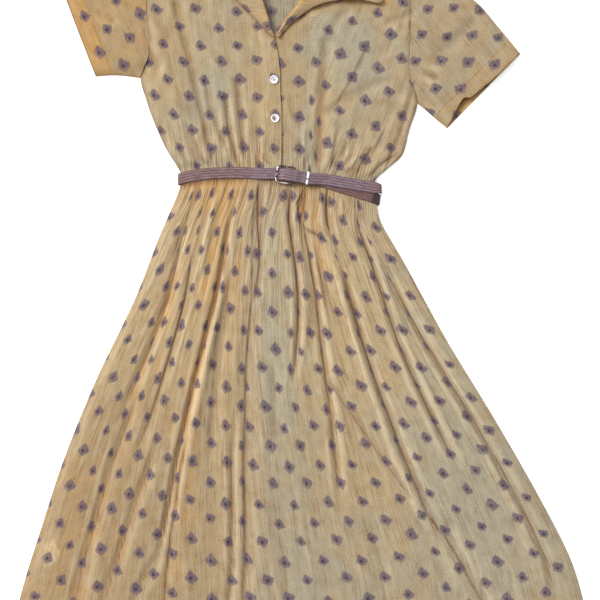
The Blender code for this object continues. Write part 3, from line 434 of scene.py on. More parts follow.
def below_shoulder(x, y):
    left_tip, right_tip = TOP_FRONT[-1], UNDER_FRONT[-1]
    seams = [(left_tip.left_x, left_tip.left_y), (left_tip.right_x, left_tip.right_y),
             (right_tip.left_x, right_tip.left_y), (right_tip.right_x, right_tip.right_y)]
    return along(seams, x) - y


def edge_rise(distance, roll=EDGE_ROLL):
    return 1.0 - fade(distance, roll)


def belt_lift(x, y):
    away = np.abs(y - along(UNDER_STRAP, x))
    return BELT_LIFT * (1.0 - smooth((away - LIFT_HALF) / LIFT_FADE))


def bed(x):
    left, right = UNDER_STRAP[0][0], UNDER_STRAP[1][0]
    return BED_RISE * edge_rise(np.minimum(x - left, right - x) - BED_EDGE, BED_ROLL)


def pressed(x, y):
    """1 where a front strap presses the cloth flat, 0 where the cloth is loose."""
    under_tail = 1.0 - smooth((np.abs(y - waist_y(x)) - TAIL_PRESS[0]) / TAIL_PRESS[1])
    under_low = 1.0 - smooth((np.abs(y - along(LOW_STRAP, x)) - LOW_PRESS[0]) / LOW_PRESS[1])
    return np.maximum(under_tail, np.where(x > LOW_STRAP[0][0], under_low, 0.0))


def gathers(x, y, count, away):
    left, right = side_edges(y)
    share = (x - left) / (right - left)
    beat = count * share + 0.35 * np.sin(9.0 * share + 1.0) + 0.2 * np.sin(23.0 * share)
    size = 0.75 + 0.25 * np.sin(17.0 * share + 0.5)
    return GATHER_HEIGHT * size * np.cos(2.0 * math.pi * beat) * np.exp(-away / GATHER_FADE)


def hem_arch(across):
    return HEM_ARCH * np.sin(math.pi * np.clip(across, 0.0, 1.0))


def skirt_place(x, y):
    """The shares across and down the skirt, and its width, at points of the plan."""
    left, right = side_edges(y)
    across = (x - left) / (right - left)
    hem_y = between(SKIRT[-1].left_y, SKIRT[-1].right_y, across) - hem_arch(across)
    return across, (waist_y(x) - y) / (waist_y(x) - hem_y), right - left


def off_fold(fold, across, down, width):
    """How far each point lies to the right of a fold, and how far the fold has faded in."""
    run = (down - fold.down_from) / (fold.down_to - fold.down_from)
    ends = smooth(run / 0.18) * smooth((1.0 - run) / 0.18)
    run = np.clip(run, 0.0, 1.0)
    middle = ((1 - run) * (1 - 2 * run) * fold.across_from + 4 * run * (1 - run) * fold.across_mid
              + run * (2 * run - 1) * fold.across_to)
    return (across - middle) * width, ends


def skirt_puff(x, y):
    across, down, width = skirt_place(x, y)
    ridges = gathers(x, y, SKIRT_GATHERS, np.maximum(waist_y(x) - y, 0.0))
    kept = np.ones_like(x)
    for fold in SKIRT_FOLDS:
        off, ends = off_fold(fold, across, down, width)
        shape = ends * bell(off, fold.half_width)
        if fold.height > 0:
            ridges = ridges + fold.height * shape
        else:
            kept = kept * (1.0 + fold.height * shape)
    to_side = width * np.minimum(across, 1.0 - across)
    lie_down = 1.0 - 0.35 * smooth((down - 0.88) / 0.12)
    return edge_rise(to_side) * (SKIRT_CROWN + ridges) * kept * lie_down


def off_crease(crease, x, y):
    """How far each point lies from a crease, and on which side of it: 1 to the right."""
    near, side = np.full_like(x, 1e9), np.ones_like(x)
    for ax, ay, bx, by in ((crease.x0, crease.y0, crease.x1, crease.y1),
                           (crease.x1, crease.y1, crease.x2, crease.y2)):
        run = ((x - ax) * (bx - ax) + (y - ay) * (by - ay)) / ((bx - ax) ** 2 + (by - ay) ** 2)
        run = np.clip(run, 0.0, 1.0)
        away = np.hypot(x - between(ax, bx, run), y - between(ay, by, run))
        turn = np.sign((bx - ax) * (y - ay) - (by - ay) * (x - ax))
        side = np.where(away < near, turn, side)
        near = np.minimum(near, away)
    return near, side


def crease_share(x, y, creases):
    kept = np.ones_like(x)
    for crease in creases:
        near, side = off_crease(crease, x, y)
        kept = kept * (1.0 - crease.cut * bell(near, crease.half_width))
    return kept


def bodice_puff(x, y):
    left, right = side_edges(y)
    open_left = smooth((y - TOP_FRONT[UNDERARM_ROW].left_y) / ARMHOLE_OPENS)
    open_right = smooth((y - UNDER_FRONT[UNDERARM_ROW].right_y) / ARMHOLE_OPENS)
    side = np.maximum(edge_rise(x - left), open_left) * np.maximum(edge_rise(right - x), open_right)
    loose = smooth((np.abs(x - CLOSURE_MIDDLE) - CLOSURE_FLAT[0]) / CLOSURE_FLAT[1])
    waves = gathers(x, y, BODICE_GATHERS, np.maximum(y - waist_y(x), 0.0)) * loose
    creased = between(1.0, crease_share(x, y, BODICE_CREASES), loose)
    return side * edge_rise(below_shoulder(x, y), SHOULDER_ROLL) * (BODICE_CROWN + waves) * creased


def front_low(x, y):
    """Underside of the solid model's front cloth anywhere on the dress."""
    loose = np.where(y > waist_y(x), bodice_puff(x, y), skirt_puff(x, y))
    press = pressed(x, y)
    return belt_lift(x, y) + BACK_WALL + SEAM_GAP + press * bed(x) + (1.0 - press) * loose


def lap(x, y):
    return LAP_RISE * smooth((x - LAP_FROM) / LAP_WIDTH) * (1.0 - smooth((y - LAP_TOP) / LAP_FADE))


def ground(x, y):
    """Top of the fronts, of the back inside the neck, or the surface itself beyond the shoulders."""
    x, y = np.asarray(x, dtype=float), np.asarray(y, dtype=float)
    top = front_low(x, y) + FRONT_WALL + np.where(x < LAP_EDGE, lap(x, y), 0.0)
    neck_left = along([(row.right_y, row.right_x) for row in TOP_FRONT[NECK_ROW:]], y)
    neck_right = along([(row.left_y, row.left_x) for row in UNDER_FRONT[NECK_ROW:]], y)
    in_neck = (y > TOP_FRONT[NECK_ROW].right_y) & (x > neck_left + 8.0) & (x < neck_right - 8.0)
    top = np.where(in_neck, BACK_WALL, top)
    return top * (1.0 - smooth((-below_shoulder(x, y) - 3.0) / 14.0))


print("height of the cloth at the middle of the skirt:", round(float(front_low(0.0, -200.0)), 1), "mm")

# %% [markdown]
# ## The print
# The print is a common one: soft-edged small squares, each with a dark dot, in staggered columns that
# follow the grain. It could be painted on an image, but an image has a fixed size and blurs up close.
# Here a node group divides the cloth's own flat coordinates into cells, rolls a random turn, size and
# fade for each cell, and draws one square in it. The flat coordinates are the UV map, in metres of
# cloth, so the print bends, crowds and disappears into the folds as a real one does.

# %% The printed squares
COLUMN_STEP, GRAIN_STEP = 0.035, 0.0677     # metres of cloth between columns, and along the grain
HALF_SIZE, SOFTNESS = 0.0099, 0.2
SQUARENESS = 7.0                            # 2 would draw discs
STRAY = (0.005, 0.006)                      # how far a square strays from its cell's middle
RAGGED, RAGGED_SCALE = 0.0056, 330.0
DOT_CORE, DOT_REACH = 0.0008, 0.0056


def new_group(name, inputs, outputs):
    """A shader node group with named sockets; inputs give their kind and default."""
    tree = bpy.data.node_groups.new(name, "ShaderNodeTree")
    for label, kind, default in inputs:
        socket = tree.interface.new_socket(label, in_out="INPUT", socket_type="NodeSocket" + kind)
        if default is not None:
            socket.default_value = default
    for label, kind in outputs:
        tree.interface.new_socket(label, in_out="OUTPUT", socket_type="NodeSocket" + kind)
    return tree, tree.nodes.new("NodeGroupInput"), tree.nodes.new("NodeGroupOutput")


def cell_along(tree, count, step):
    """The number of the cell that a count lies in, and the metres from the cell's middle."""
    number = sum_up(tree, "FLOOR", count)
    off = sum_up(tree, "SUBTRACT", count, sum_up(tree, "ADD", number, 0.5))
    return number, times(tree, off, step)


def make_print_group():
    tree, given, out = new_group(
        "printed_squares",
        [("Cloth", "Vector", None), ("Half Size", "Float", HALF_SIZE), ("Softness", "Float", SOFTNESS)],
        [("Print", "Float"), ("Dot", "Float")])
    flat, softness = given.outputs["Cloth"], given.outputs["Softness"]
    cloth = add(tree, "SeparateXYZ", {0: flat})
    column = sum_up(tree, "ADD", sum_up(tree, "DIVIDE", cloth.outputs[0], COLUMN_STEP), 0.5)
    column_no, side = cell_along(tree, column, COLUMN_STEP)
    stagger = scaled(tree, sum_up(tree, "FLOORED_MODULO", column_no, 2.0), 0.5, -0.5)
    row = sum_up(tree, "SUBTRACT", sum_up(tree, "DIVIDE", cloth.outputs[1], GRAIN_STEP), stagger)
    row_no, up = cell_along(tree, row, GRAIN_STEP)
    cell = add(tree, "CombineXYZ", {0: column_no, 1: row_no}).outputs[0]
    shifted = add(tree, "VectorMath", {0: cell, 1: (7.3, 3.1, 5.0)}, operation="ADD").outputs[0]
    rolls = []
    for place in (cell, shifted):
        chance = add(tree, "TexWhiteNoise", {0: place}, noise_dimensions="3D")
        rolls.append(add(tree, "SeparateColor", {0: chance.outputs["Color"]}).outputs)
    roll, other = rolls
    side = scaled(tree, sum_up(tree, "SUBTRACT", roll[0], 0.5), STRAY[0], side)
    up = scaled(tree, sum_up(tree, "SUBTRACT", roll[1], 0.5), STRAY[1], up)
    place = add(tree, "CombineXYZ", {0: side, 1: up})
    ragged = add(tree, "TexNoise", {"Vector": flat, "Scale": RAGGED_SCALE, "Detail": 4.0})
    wobble = add(tree, "VectorMath", {0: ragged.outputs["Color"], 1: (0.5, 0.5, 0.5)},
                 operation="SUBTRACT")
    wobbly = add(tree, "VectorMath", {0: wobble.outputs[0], 1: (RAGGED, RAGGED, 0.0), 2: place.outputs[0]},
                 operation="MULTIPLY_ADD").outputs[0]
    angle = scaled(tree, roll[2], 0.95, 0.3)
    turned = add(tree, "VectorRotate", {"Vector": wobbly, "Angle": angle}, rotation_type="Z_AXIS")
    arm = add(tree, "SeparateXYZ", {0: turned.outputs[0]}).outputs
    across = sum_up(tree, "POWER", sum_up(tree, "ABSOLUTE", arm[0]), SQUARENESS)
    tall = sum_up(tree, "POWER", sum_up(tree, "ABSOLUTE", arm[1]), SQUARENESS)
    far = sum_up(tree, "POWER", sum_up(tree, "ADD", across, tall), 1.0 / SQUARENESS)
    size = times(tree, given.outputs["Half Size"], scaled(tree, other[0], 0.26, 0.84))
    lean = sum_up(tree, "DIVIDE", arm[0], size)
    edge = sum_up(tree, "SUBTRACT", sum_up(tree, "DIVIDE", far, size), ramp(tree, lean, -0.9, 0.5, 0.78, 1.0))
    mask = ramp(tree, edge, times(tree, softness, -1.0), softness, 1.0, 0.0)
    faded = ramp(tree, lean, -1.0, 0.4, scaled(tree, other[1], 0.4, 0.45), 1.0)
    mottled = ramp(tree, noise(tree, flat, (520.0, 90.0), 3.0), 0.3, 0.55, 0.6, 1.0)
    strength = times(tree, times(tree, mask, faded), mottled)
    middle = add(tree, "VectorMath", {0: wobbly}, operation="LENGTH").outputs["Value"]
    dot = times(tree, ramp(tree, middle, DOT_CORE, DOT_REACH, 1.0, 0.0), strength)
    wire(tree, out, {"Print": strength, "Dot": dot})
    return tree


PRINT = make_print_group()
print("print group has", len(PRINT.nodes), "nodes")

# %% [markdown]
# ## The crinkled weave
# The cloth is a thin gauze that was crinkled lengthwise, so its surface is full of fine streaks along
# the grain. They are far too many to model one by one. A second group stretches two noises along the
# grain, draws a thin line where the wider one crosses its middle value, and puts out a height for the
# bump and a tone. The tone is a random grain, with painted shade in the streaks' hollows and the thin
# lines, darker and warmer there, and painted highlight on the streaks' crests.

# %% Streaks along the grain
FINE_STREAKS, WIDE_STREAKS, SLUBS = (520.0, 16.0), (190.0, 5.0), (60.0, 45.0)
FINE_GRAIN, PATCHES = 460.0, 20.0           # waves to a metre of cloth, as those above are
# The thin lines are painted shade in the crinkles' creases, with a little painted light beside them.
LINE_REACH, LINE_DARK, LINE_LIGHT = 0.055, -0.24, 0.05


def make_weave_group():
    tree, given, out = new_group(
        "crinkled_weave", [("Cloth", "Vector", None), ("Crinkled", "Float", 0.5)],
        [("Height", "Float"), ("Tone", "Float"), ("Patch", "Float")])
    flat = given.outputs["Cloth"]
    waves = [noise(tree, flat, FINE_STREAKS, 2.0), noise(tree, flat, WIDE_STREAKS, 2.0),
             noise(tree, flat, FINE_GRAIN, 3.0, Roughness=0.8), noise(tree, flat, SLUBS, 3.0)]
    fine, wide, grain, cloud = [sum_up(tree, "SUBTRACT", wave, 0.5) for wave in waves]
    line = ramp(tree, sum_up(tree, "ABSOLUTE", wide), 0.0, LINE_REACH, LINE_DARK, LINE_LIGHT)
    line = times(tree, line, given.outputs["Crinkled"])
    streaks = scaled(tree, fine, 0.22, line)
    # tone: random grain and patches, plus the streaks' painted shade and painted highlight
    tone = scaled(tree, grain, 0.5, scaled(tree, cloud, 0.2, streaks))
    wire(tree, out, {"Height": scaled(tree, grain, 0.12, streaks), "Tone": ramp(tree, tone, -0.17, 0.17),
                     "Patch": noise(tree, flat, PATCHES, 2.0)})
    return tree


WEAVE = make_weave_group()
print("weave group has", len(WEAVE.nodes), "nodes")

# %% [markdown]
# ## The cloth's colour
# The cloth is golden tan, but it never shows one colour. Where two layers lie close it is painted with
# an orange glow of the light between them, broad flat stretches turn a cool greenish beige, and shade
# in the creases is painted brown. Each point of a piece carries painted values for this: `warmth`, from
# cool to orange, which also warms painted shadows, `crease`, painted shade that is 1 in a fold's line,
# `relief`, painted highlight that is high on a crest and painted shade in a hollow, and `crinkled`,
# which is how streaked it is. One group turns them into a colour, one layer over the other, with the
# print on top. The shader itself stays in the material.

# %% From painted values to colour
def srgb(red, green, blue):
    """A colour given as the usual 0 to 255 steps, made linear for the shader."""
    linear = [(c / 255 / 12.92 if c / 255 < 0.04045 else ((c / 255 + 0.055) / 1.055) ** 2.4)
              for c in (red, green, blue)]
    return (*linear, 1.0)


GOLDEN = srgb(154, 134, 101)
GLOWING = srgb(180, 141, 86)
COOL = srgb(144, 138, 118)
# Painted highlight: crests of the folds and light streaks of the weave are mixed toward this pale colour.
CREST_HIGHLIGHT = srgb(196, 180, 150)
# Painted shade: creases, hollows and other shaded places are mixed toward this brown.
PAINTED_SHADE_BROWN = srgb(100, 63, 32)
PLUM = srgb(84, 69, 84)
PLUM_DOT = srgb(36, 26, 42)


def make_colour_group():
    tree, given, out = new_group(
        "cloth_colour",
        [("Warmth", "Float", 0.0), ("Crease", "Float", 0.0), ("Relief", "Float", 0.0),
         ("Tone", "Float", 0.5), ("Patch", "Float", 0.5), ("Print", "Float", 0.0), ("Dot", "Float", 0.0),
         ("Base", "Color", GOLDEN)],
        [("Color", "Color")])
    tone, relief = given.outputs["Tone"], given.outputs["Relief"]
    patchy = sum_up(tree, "SUBTRACT", given.outputs["Patch"], 0.5)
    mottled = scaled(tree, patchy, 1.2, given.outputs["Warmth"])
    toned = scaled(tree, sum_up(tree, "SUBTRACT", 0.5, tone), 0.35, mottled)
    # Painted shade in the hollows, from relief, and in creases and other shaded places, from crease.
    hollow_shade = times(tree, ramp(tree, relief, 0.0, -1.0), 0.4)
    dark = sum_up(tree, "MAXIMUM", hollow_shade, times(tree, given.outputs["Crease"], 0.9))
    shade = scaled(tree, ramp(tree, tone, 0.5, 0.0), 0.5, dark)
    # Layers: orange glow, cool beige, painted highlight on crests and light streaks, painted shade, print.
    layers = [(ramp(tree, toned, 0.0, 1.0), GLOWING), (ramp(tree, toned, 0.0, -1.0), COOL),
              (times(tree, ramp(tree, relief, 0.0, 1.0), 0.5), CREST_HIGHLIGHT),
              (times(tree, ramp(tree, tone, 0.5, 1.0), 0.4), CREST_HIGHLIGHT),
              (sum_up(tree, "MAXIMUM", shade, 0.0), PAINTED_SHADE_BROWN),
              (times(tree, given.outputs["Print"], 0.92), PLUM),
              (times(tree, given.outputs["Dot"], 0.95), PLUM_DOT)]
    colour = given.outputs["Base"]
    for share, over in layers:
        colour = blend(tree, share, colour, over)
    wire(tree, out, {"Color": colour})
    return tree


COLOUR = make_colour_group()


def cloth_material(name, base, print_share, crinkle):
    """Printed gauze; print_share is under 1 on the side where the print only shows through."""
    material, tree, shader = new_material(name)
    flat = add(tree, "UVMap", uv_map="cloth").outputs[0]
    squares = add(tree, "Group", {"Cloth": flat}, node_tree=PRINT).outputs
    crinkled = painted(tree, "crinkled")
    weave = add(tree, "Group", {"Cloth": flat, "Crinkled": crinkled}, node_tree=WEAVE).outputs
    looks = {label: painted(tree, label.lower()) for label in ("Warmth", "Crease", "Relief")}
    looks.update({label: weave[label] for label in ("Tone", "Patch")})
    looks.update({label: times(tree, squares[label], print_share) for label in ("Print", "Dot")})
    colour = add(tree, "Group", {**looks, "Base": base}, node_tree=COLOUR)
    bump = add(tree, "Bump", {"Height": weave["Height"], "Strength": crinkle, "Distance": 0.0012})
    wire(tree, shader, {"Base Color": colour.outputs["Color"], "Normal": bump.outputs[0],
                        "Roughness": ramp(tree, weave["Tone"], 0.0, 1.0, 0.92, 0.78),
                        "Sheen Weight": 0.12, "Sheen Roughness": 0.6, "Specular IOR Level": 0.25})
    return material


FACE = cloth_material("printed_gauze", GOLDEN, 1.0, 0.5)
REVERSE = cloth_material("printed_gauze_reverse", srgb(134, 128, 118), 0.75, 0.6)
print("cloth materials:", FACE.name, REVERSE.name)

# %% [markdown]
# ## Making a sheet of cloth
# A panel starts as a grid of points on its plan, with a height for each. Two such grids a thin wall
# apart, joined round the rim, are a closed sheet with a face and a reverse. Building it in code gives
# each point its place on the flat cloth at the same time, and the painted values with it.

# %% A closed thin sheet from a grid
CLOTH_WALL = 0.8


def rim_of(rows, columns):
    return ([(0, c) for c in range(columns)] + [(r, columns - 1) for r in range(1, rows)]
            + [(rows - 1, c) for c in range(columns - 2, -1, -1)] + [(r, 0) for r in range(rows - 2, 0, -1)])


def grid_quads(rows, columns, wrap=False):
    """Index quads over a grid of points, closed across its columns if wrap is set."""
    r = np.arange(rows - 1)[:, None]
    c = np.arange(columns if wrap else columns - 1)[None, :]
    d = (c + 1) % columns
    here, right = r * columns + c, r * columns + d
    return np.stack([here, right, right + columns, here + columns], axis=-1).reshape(-1, 4)


def build(name, points, faces, inner, cloth, paints, materials):
    """An object from points in table millimetres; inner marks the faces of the second material."""
    points = (np.asarray(points, dtype=float) - (0.0, LAID_MIDDLE_Y, 0.0)) * MM
    mesh = bpy.data.meshes.new(name)
    mesh.from_pydata(points.tolist(), [], [[int(i) for i in face] for face in faces])
    for material in materials:
        mesh.materials.append(material)
    mesh.polygons.foreach_set("material_index", np.asarray(inner, dtype=np.int32))
    corners = np.zeros(len(mesh.loops), dtype=np.int32)
    mesh.loops.foreach_get("vertex_index", corners)
    layer = mesh.uv_layers.new(name="cloth")
    layer.data.foreach_set("uv", (np.asarray(cloth)[corners] * MM).astype(np.float32).ravel())
    for label, values in paints.items():
        attribute = mesh.attributes.new(label, "FLOAT", "POINT")
        attribute.data.foreach_set("value", np.asarray(values, dtype=np.float32))
    mesh.shade_smooth()
    mesh.validate()
    obj = bpy.data.objects.new(name, mesh)
    bpy.context.scene.collection.objects.link(obj)
    bm = bmesh.new()
    bm.from_mesh(mesh)
    bmesh.ops.recalc_face_normals(bm, faces=bm.faces)
    bm.to_mesh(mesh)
    bm.free()
    mesh.set_sharp_from_angle(angle=math.radians(55.0))
    return obj


def cloth_sheet(name, x, y, top, u, v, warmth, crease, relief, crinkled, materials=None):
    """A closed sheet whose face is at top and whose reverse is a wall below it."""
    rows, columns = x.shape
    over = np.stack([x, y, top], axis=2).reshape(-1, 3)
    under = np.stack([x, y, top - CLOTH_WALL], axis=2).reshape(-1, 3)
    quads = grid_quads(rows, columns)
    count = rows * columns
    rim = [r * columns + c for r, c in rim_of(rows, columns)]
    strip = np.array([(a, b, b + count, a + count) for a, b in zip(rim, rim[1:] + rim[:1])])
    faces = np.concatenate([quads, quads[:, ::-1] + count, strip])
    inner = np.concatenate([np.zeros(len(quads)), np.ones(len(quads)), np.zeros(len(strip))])
    cloth = np.tile(np.stack([u.ravel(), v.ravel()], axis=1), (2, 1))
    # Painted values: warmth, crease as painted shade, relief as painted highlight and shade, and crinkled.
    paints = {label: np.tile(np.broadcast_to(values, x.shape).ravel(), 2)
              for label, values in (("warmth", warmth), ("crease", crease), ("relief", relief),
                                    ("crinkled", crinkled))}
    return build(name, np.concatenate([over, under]), faces, inner, cloth, paints,
                 materials or (FACE, REVERSE))


def crinkle(u, v, size=1.0):
    """Soft lengthwise wrinkles, in millimetres, at a few scales along the grain."""
    broad = 0.6 * cloudy(u / 21.0, v / 150.0, 3)
    middle = 0.55 * cloudy(u / 10.0 + 0.3 * cloudy(u / 60.0, v / 90.0, 8), v / 75.0, 1)
    fine = 0.35 * cloudy(u / 5.5, v / 42.0, 2)
    return size * (broad + middle + fine)


def level_line(points, field, value):
    """The line over rows of points where a field, such as the distance to an edge, has one value."""
    line = []
    for row, along_row in zip(points, field):
        order = np.argsort(along_row)
        line.append([np.interp(value, along_row[order], row[order, axis]) for axis in range(3)])
    return np.array(line)


SEWN_LINES = {}              # lines on the cloth that are stitched later, by the seam's name
print("cloth wall:", CLOTH_WALL, "mm")

# %% [markdown]
# ## The skirt
# The real front is one wide panel, gathered into the waist seam and pressed by wear into long folds.
# A simulated drape would fall into folds of its own, so they are listed one by one instead: each fold is
# a soft step beside the dip that the solid already has. The hidden width inside the folds is added to the
# flat coordinates where the step is, so the columns of the print run into the folds and come out of
# them toward the hem.

# %% The skirt's plan
SKIRT_CLOTH_WIDTH = 1000.0
CRINKLE_TUCK = 2.6           # the crinkles' share of the hidden width, beside the folds' shares
GRAIN_LINE = 0.447           # share across the skirt whose thread runs straight down
FIRST_SQUARE = 38.0          # millimetres below the waist of the first square on that line
SKIRT_GRID, BACK_GRID = (160, 300), (90, 120)       # rows and columns of points
FOLD_EDGE, OPEN_EDGE = 5.0, 80.0     # the plan's width in which a fold hides its cloth, shut and open
HEM_DEPTH = 30.0
HEM_STITCH = 3.0             # from a fold's inner edge to its stitched line


def panel_grid(table, stations, shares, arch_rows):
    """The plan of a panel: sections at the stations, and points at the shares across each."""
    x = np.zeros((len(stations), len(shares)))
    y = np.zeros_like(x)
    for r, station in enumerate(stations):
        left_x, left_y, right_x, right_y = through(table, station)
        x[r] = between(left_x, right_x, shares)
        follow = max(0.0, 1.0 - station / arch_rows)
        bulge = waist_arch(x[r]) - between(waist_arch(left_x), waist_arch(right_x), shares)
        y[r] = between(left_y, right_y, shares) + follow * bulge
    y[0] = waist_y(x[0])
    return x, y


def even_stations(table, count, crowd):
    """Stations a like distance apart down a panel, crowded toward its first row."""
    dense = np.linspace(0.0, len(table) - 1.0, 400)
    line = np.array([through(table, s) for s in dense])
    middle = (line[:, :2] + line[:, 2:]) / 2.0
    walked = walked_along(middle)
    share = np.linspace(0.0, 1.0, count)
    share = between(share, share * share, crowd)
    return np.interp(share * walked[-1], walked, dense)


def skirt_plan(row_count, column_count):
    shares = np.linspace(0.0, 1.0, column_count)
    stations = even_stations(SKIRT, row_count, 0.35)
    x, y = panel_grid(SKIRT, stations, shares, arch_rows=6.0)
    y[0] -= SEAM_GAP / 2
    for r, station in enumerate(stations):
        y[r] -= hem_arch(shares) * smooth((station - 4.0) / 5.0)
    return x, y


def down_each_column(x, y):
    """The distance walked down each column of a grid."""
    step = np.hypot(np.diff(x, axis=0), np.diff(y, axis=0))
    return np.concatenate([np.zeros((1, x.shape[1])), np.cumsum(step, axis=0)])


def skirt_cloth(x, y):
    """Flat coordinates of the skirt: the cloth that shows, plus what the crinkles and the folds hide."""
    across, down, width = skirt_place(x, y)
    shown = width[:, :1]
    hidden = np.maximum(SKIRT_CLOTH_WIDTH - shown, 0.0)
    share = np.linspace(0.0, 1.0, x.shape[1])[None, :]
    tucks = [fold for fold in SKIRT_FOLDS if fold.tuck > 0]
    total = CRINKLE_TUCK + sum(fold.tuck for fold in tucks)
    u = share * (shown + hidden * CRINKLE_TUCK / total)
    for fold in tucks:
        off, ends = off_fold(fold, across, down, width)
        run = (down - fold.down_from) / (fold.down_to - fold.down_from)
        opened = smooth((run - 0.5) / 0.5)
        if fold.down_from > 0.3:
            opened = np.maximum(opened, smooth((0.9 - run) / 1.2))
        u = u + hidden * fold.tuck / total * smooth(off / between(FOLD_EDGE, OPEN_EDGE, opened) + 0.5)
    drift = np.mean(u - share * SKIRT_CLOTH_WIDTH, axis=1, keepdims=True)
    return u - drift - GRAIN_LINE * SKIRT_CLOTH_WIDTH, down_each_column(x, y) - FIRST_SQUARE


x, y = skirt_plan(*SKIRT_GRID)
print("skirt grid:", x.shape, "rows by columns")

# %% Steps at the folds, and painted values
Patch = namedtuple("Patch", "across down reach_across reach_down strength")
SKIRT_TINTS = named(Patch, [
    (0.19, 0.02, 0.13, 0.07, 1.1), (0.26, 0.18, 0.05, 0.13, 0.9), (0.12, 0.28, 0.05, 0.18, 0.7),
    (0.27, 0.50, 0.03, 0.40, 0.8), (0.35, 0.30, 0.03, 0.25, 0.5), (0.47, 0.40, 0.07, 0.45, -0.9),
    (0.31, 0.48, 0.02, 0.25, -0.7), (0.68, 0.18, 0.08, 0.18, 0.8), (0.80, 0.30, 0.05, 0.25, 0.4),
    (0.62, 0.55, 0.04, 0.20, 0.4), (0.82, 0.75, 0.12, 0.25, -0.7), (0.50, 0.92, 0.16, 0.15, -0.6),
    (0.07, 0.85, 0.10, 0.22, 0.35), (0.04, 0.40, 0.04, 0.20, -0.4), (0.92, 0.35, 0.06, 0.25, -0.3),
    (0.22, 0.85, 0.05, 0.20, -0.2), (0.70, 0.70, 0.04, 0.12, 0.5), (0.10, 0.60, 0.16, 0.35, 0.2),
    (0.95, 0.70, 0.20, 0.35, -0.35), (0.20, 0.0, 0.18, 0.04, 0.8), (0.75, 0.05, 0.16, 0.08, 0.5),
])
TINT_STRENGTH = 0.72
BELT_SHADE = 8.5               # millimetres in which the belt's shade fades down the skirt
STAIN = (-438.0, -506.0)       # an old yellowish mark near the left edge
STEP_EDGE, STEP_FADE, FOLD_LINE = 1.6, 9.0, 1.9     # millimetres across a pressed fold
STEP_HEIGHT, CREASE_HEIGHT = 2.0, 1.5
PRESSED_FLAT = 0.85            # how much of the finer form the belt presses away
RELIEF_REACH, RELIEF_HEIGHT = 7, 1.2                # points of a row, and millimetres


def patched(across, down, rows):
    """The sum of soft patches that are listed in a table."""
    total = np.zeros_like(across)
    for row in rows:
        shape = bell(across - row.across, row.reach_across) * bell(down - row.down, row.reach_down)
        total = total + row.strength * shape
    return total


def fold_step(off, over, reach):
    """Height and painted shade of a pressed fold: one side lies on the other and shades it."""
    step = over * np.tanh(off / STEP_EDGE) * fade(np.abs(off), STEP_FADE)
    # painted shade on the side that lies beneath, and a dark line in the fold itself
    shade_beneath = fade(np.abs(off), reach) * (off * over < 0)
    return step, np.maximum(bell(off, FOLD_LINE), 0.5 * shade_beneath)


def plan_creases(x, y, creases):
    """Steps and painted shade of the creases that are placed on the plan."""
    step, crease = np.zeros_like(x), np.zeros_like(x)
    for row in creases:
        near, side = off_crease(row, x, y)
        rise, dark = fold_step(near * side, row.over, 0.9 * row.half_width)
        # painted shade: soft along each crease, or the fold's own shade where one side lies over
        soft = 0.5 * bell(near, row.half_width)
        step = step + CREASE_HEIGHT * row.cut / 0.5 * rise
        crease = np.maximum(crease, row.cut * np.maximum(soft, dark if row.over else 0.0))
    return step, crease


def skirt_folds(x, y):
    across, down, width = skirt_place(x, y)
    step, crease = np.zeros_like(x), np.zeros_like(x)
    for fold in SKIRT_FOLDS:
        if fold.height < 0:
            off, ends = off_fold(fold, across, down, width)
            depth = -fold.height / 0.8
            rise, dark = fold_step(off, fold.over, 0.8 * fold.half_width)
            step = step + STEP_HEIGHT * depth * ends * rise
            # painted shade: the fold's line and the side beneath, or a soft band where neither side lies over
            soft = 0.5 * bell(off, 6.0)
            crease = np.maximum(crease, ends * (0.3 + 0.8 * depth) * (dark if fold.over else soft))
    return step, crease


# Its value is painted: highlight where a point stands above the cloth around it, shade where it lies below.
def local_relief(height):
    """How far each point stands above the cloth around it, along a row, as -1 to 1."""
    kernel = np.hanning(2 * RELIEF_REACH + 3)[1:-1]
    kernel = kernel / kernel.sum()
    padded = np.pad(height, ((0, 0), (RELIEF_REACH, RELIEF_REACH)), mode="edge")
    around = np.apply_along_axis(lambda row: np.convolve(row, kernel, mode="valid"), 1, padded)
    return np.clip((height - around) / RELIEF_HEIGHT, -1.0, 1.0)


SKIRT_CREASES = named(Crease, [
    (6, 134, -7, 108, -4, 82, 9, 0.75, -1), (-5, 84, 8, 63, 26, 54, 6, 0.60, 1),
    (26, 54, 36, 49, 47, 40, 6, 0.45, 1), (30, 66, 48, 52, 62, 24, 6, 0.30, -1),
    (196, -362, 216, -410, 237, -456, 6, 0.55, -1), (226, -444, 234, -454, 240, -466, 3, 0.95, -1),
    (64, -352, 88, -372, 122, -380, 6, 0.25, 0), (98, -404, 122, -412, 146, -408, 5, 0.20, 0),
])
RUMPLES = named(Patch, [(70, -12, 26, 38, 1.0), (45, -262, 40, 50, 0.6), (98, -385, 42, 36, 0.6)])
across, down, width = skirt_place(x, y)
u, v = skirt_cloth(x, y)
step, crease = skirt_folds(x, y)
small_step, small_crease = plan_creases(x, y, SKIRT_CREASES)
step, crease = step + small_step, np.maximum(crease, small_crease)
step = step + 1.6 * patched(x, y, RUMPLES) * slanting(x, y, 0.5, (10.0, 15.0), 9)
free = 1.0 - PRESSED_FLAT * pressed(x, y)
to_edge = width * np.minimum(across, 1.0 - across)
wrinkles = crinkle(u, v) * (0.35 + 0.65 * smooth(to_edge / 25.0))
to_hem = v[-1] - v
doubled, groove = double_edge(to_hem, HEM_DEPTH, 1.5, 2.0, 1.6)
top = front_low(x, y) + FRONT_WALL + free * (step + wrinkles) + 0.6 * doubled - 0.5 * groove
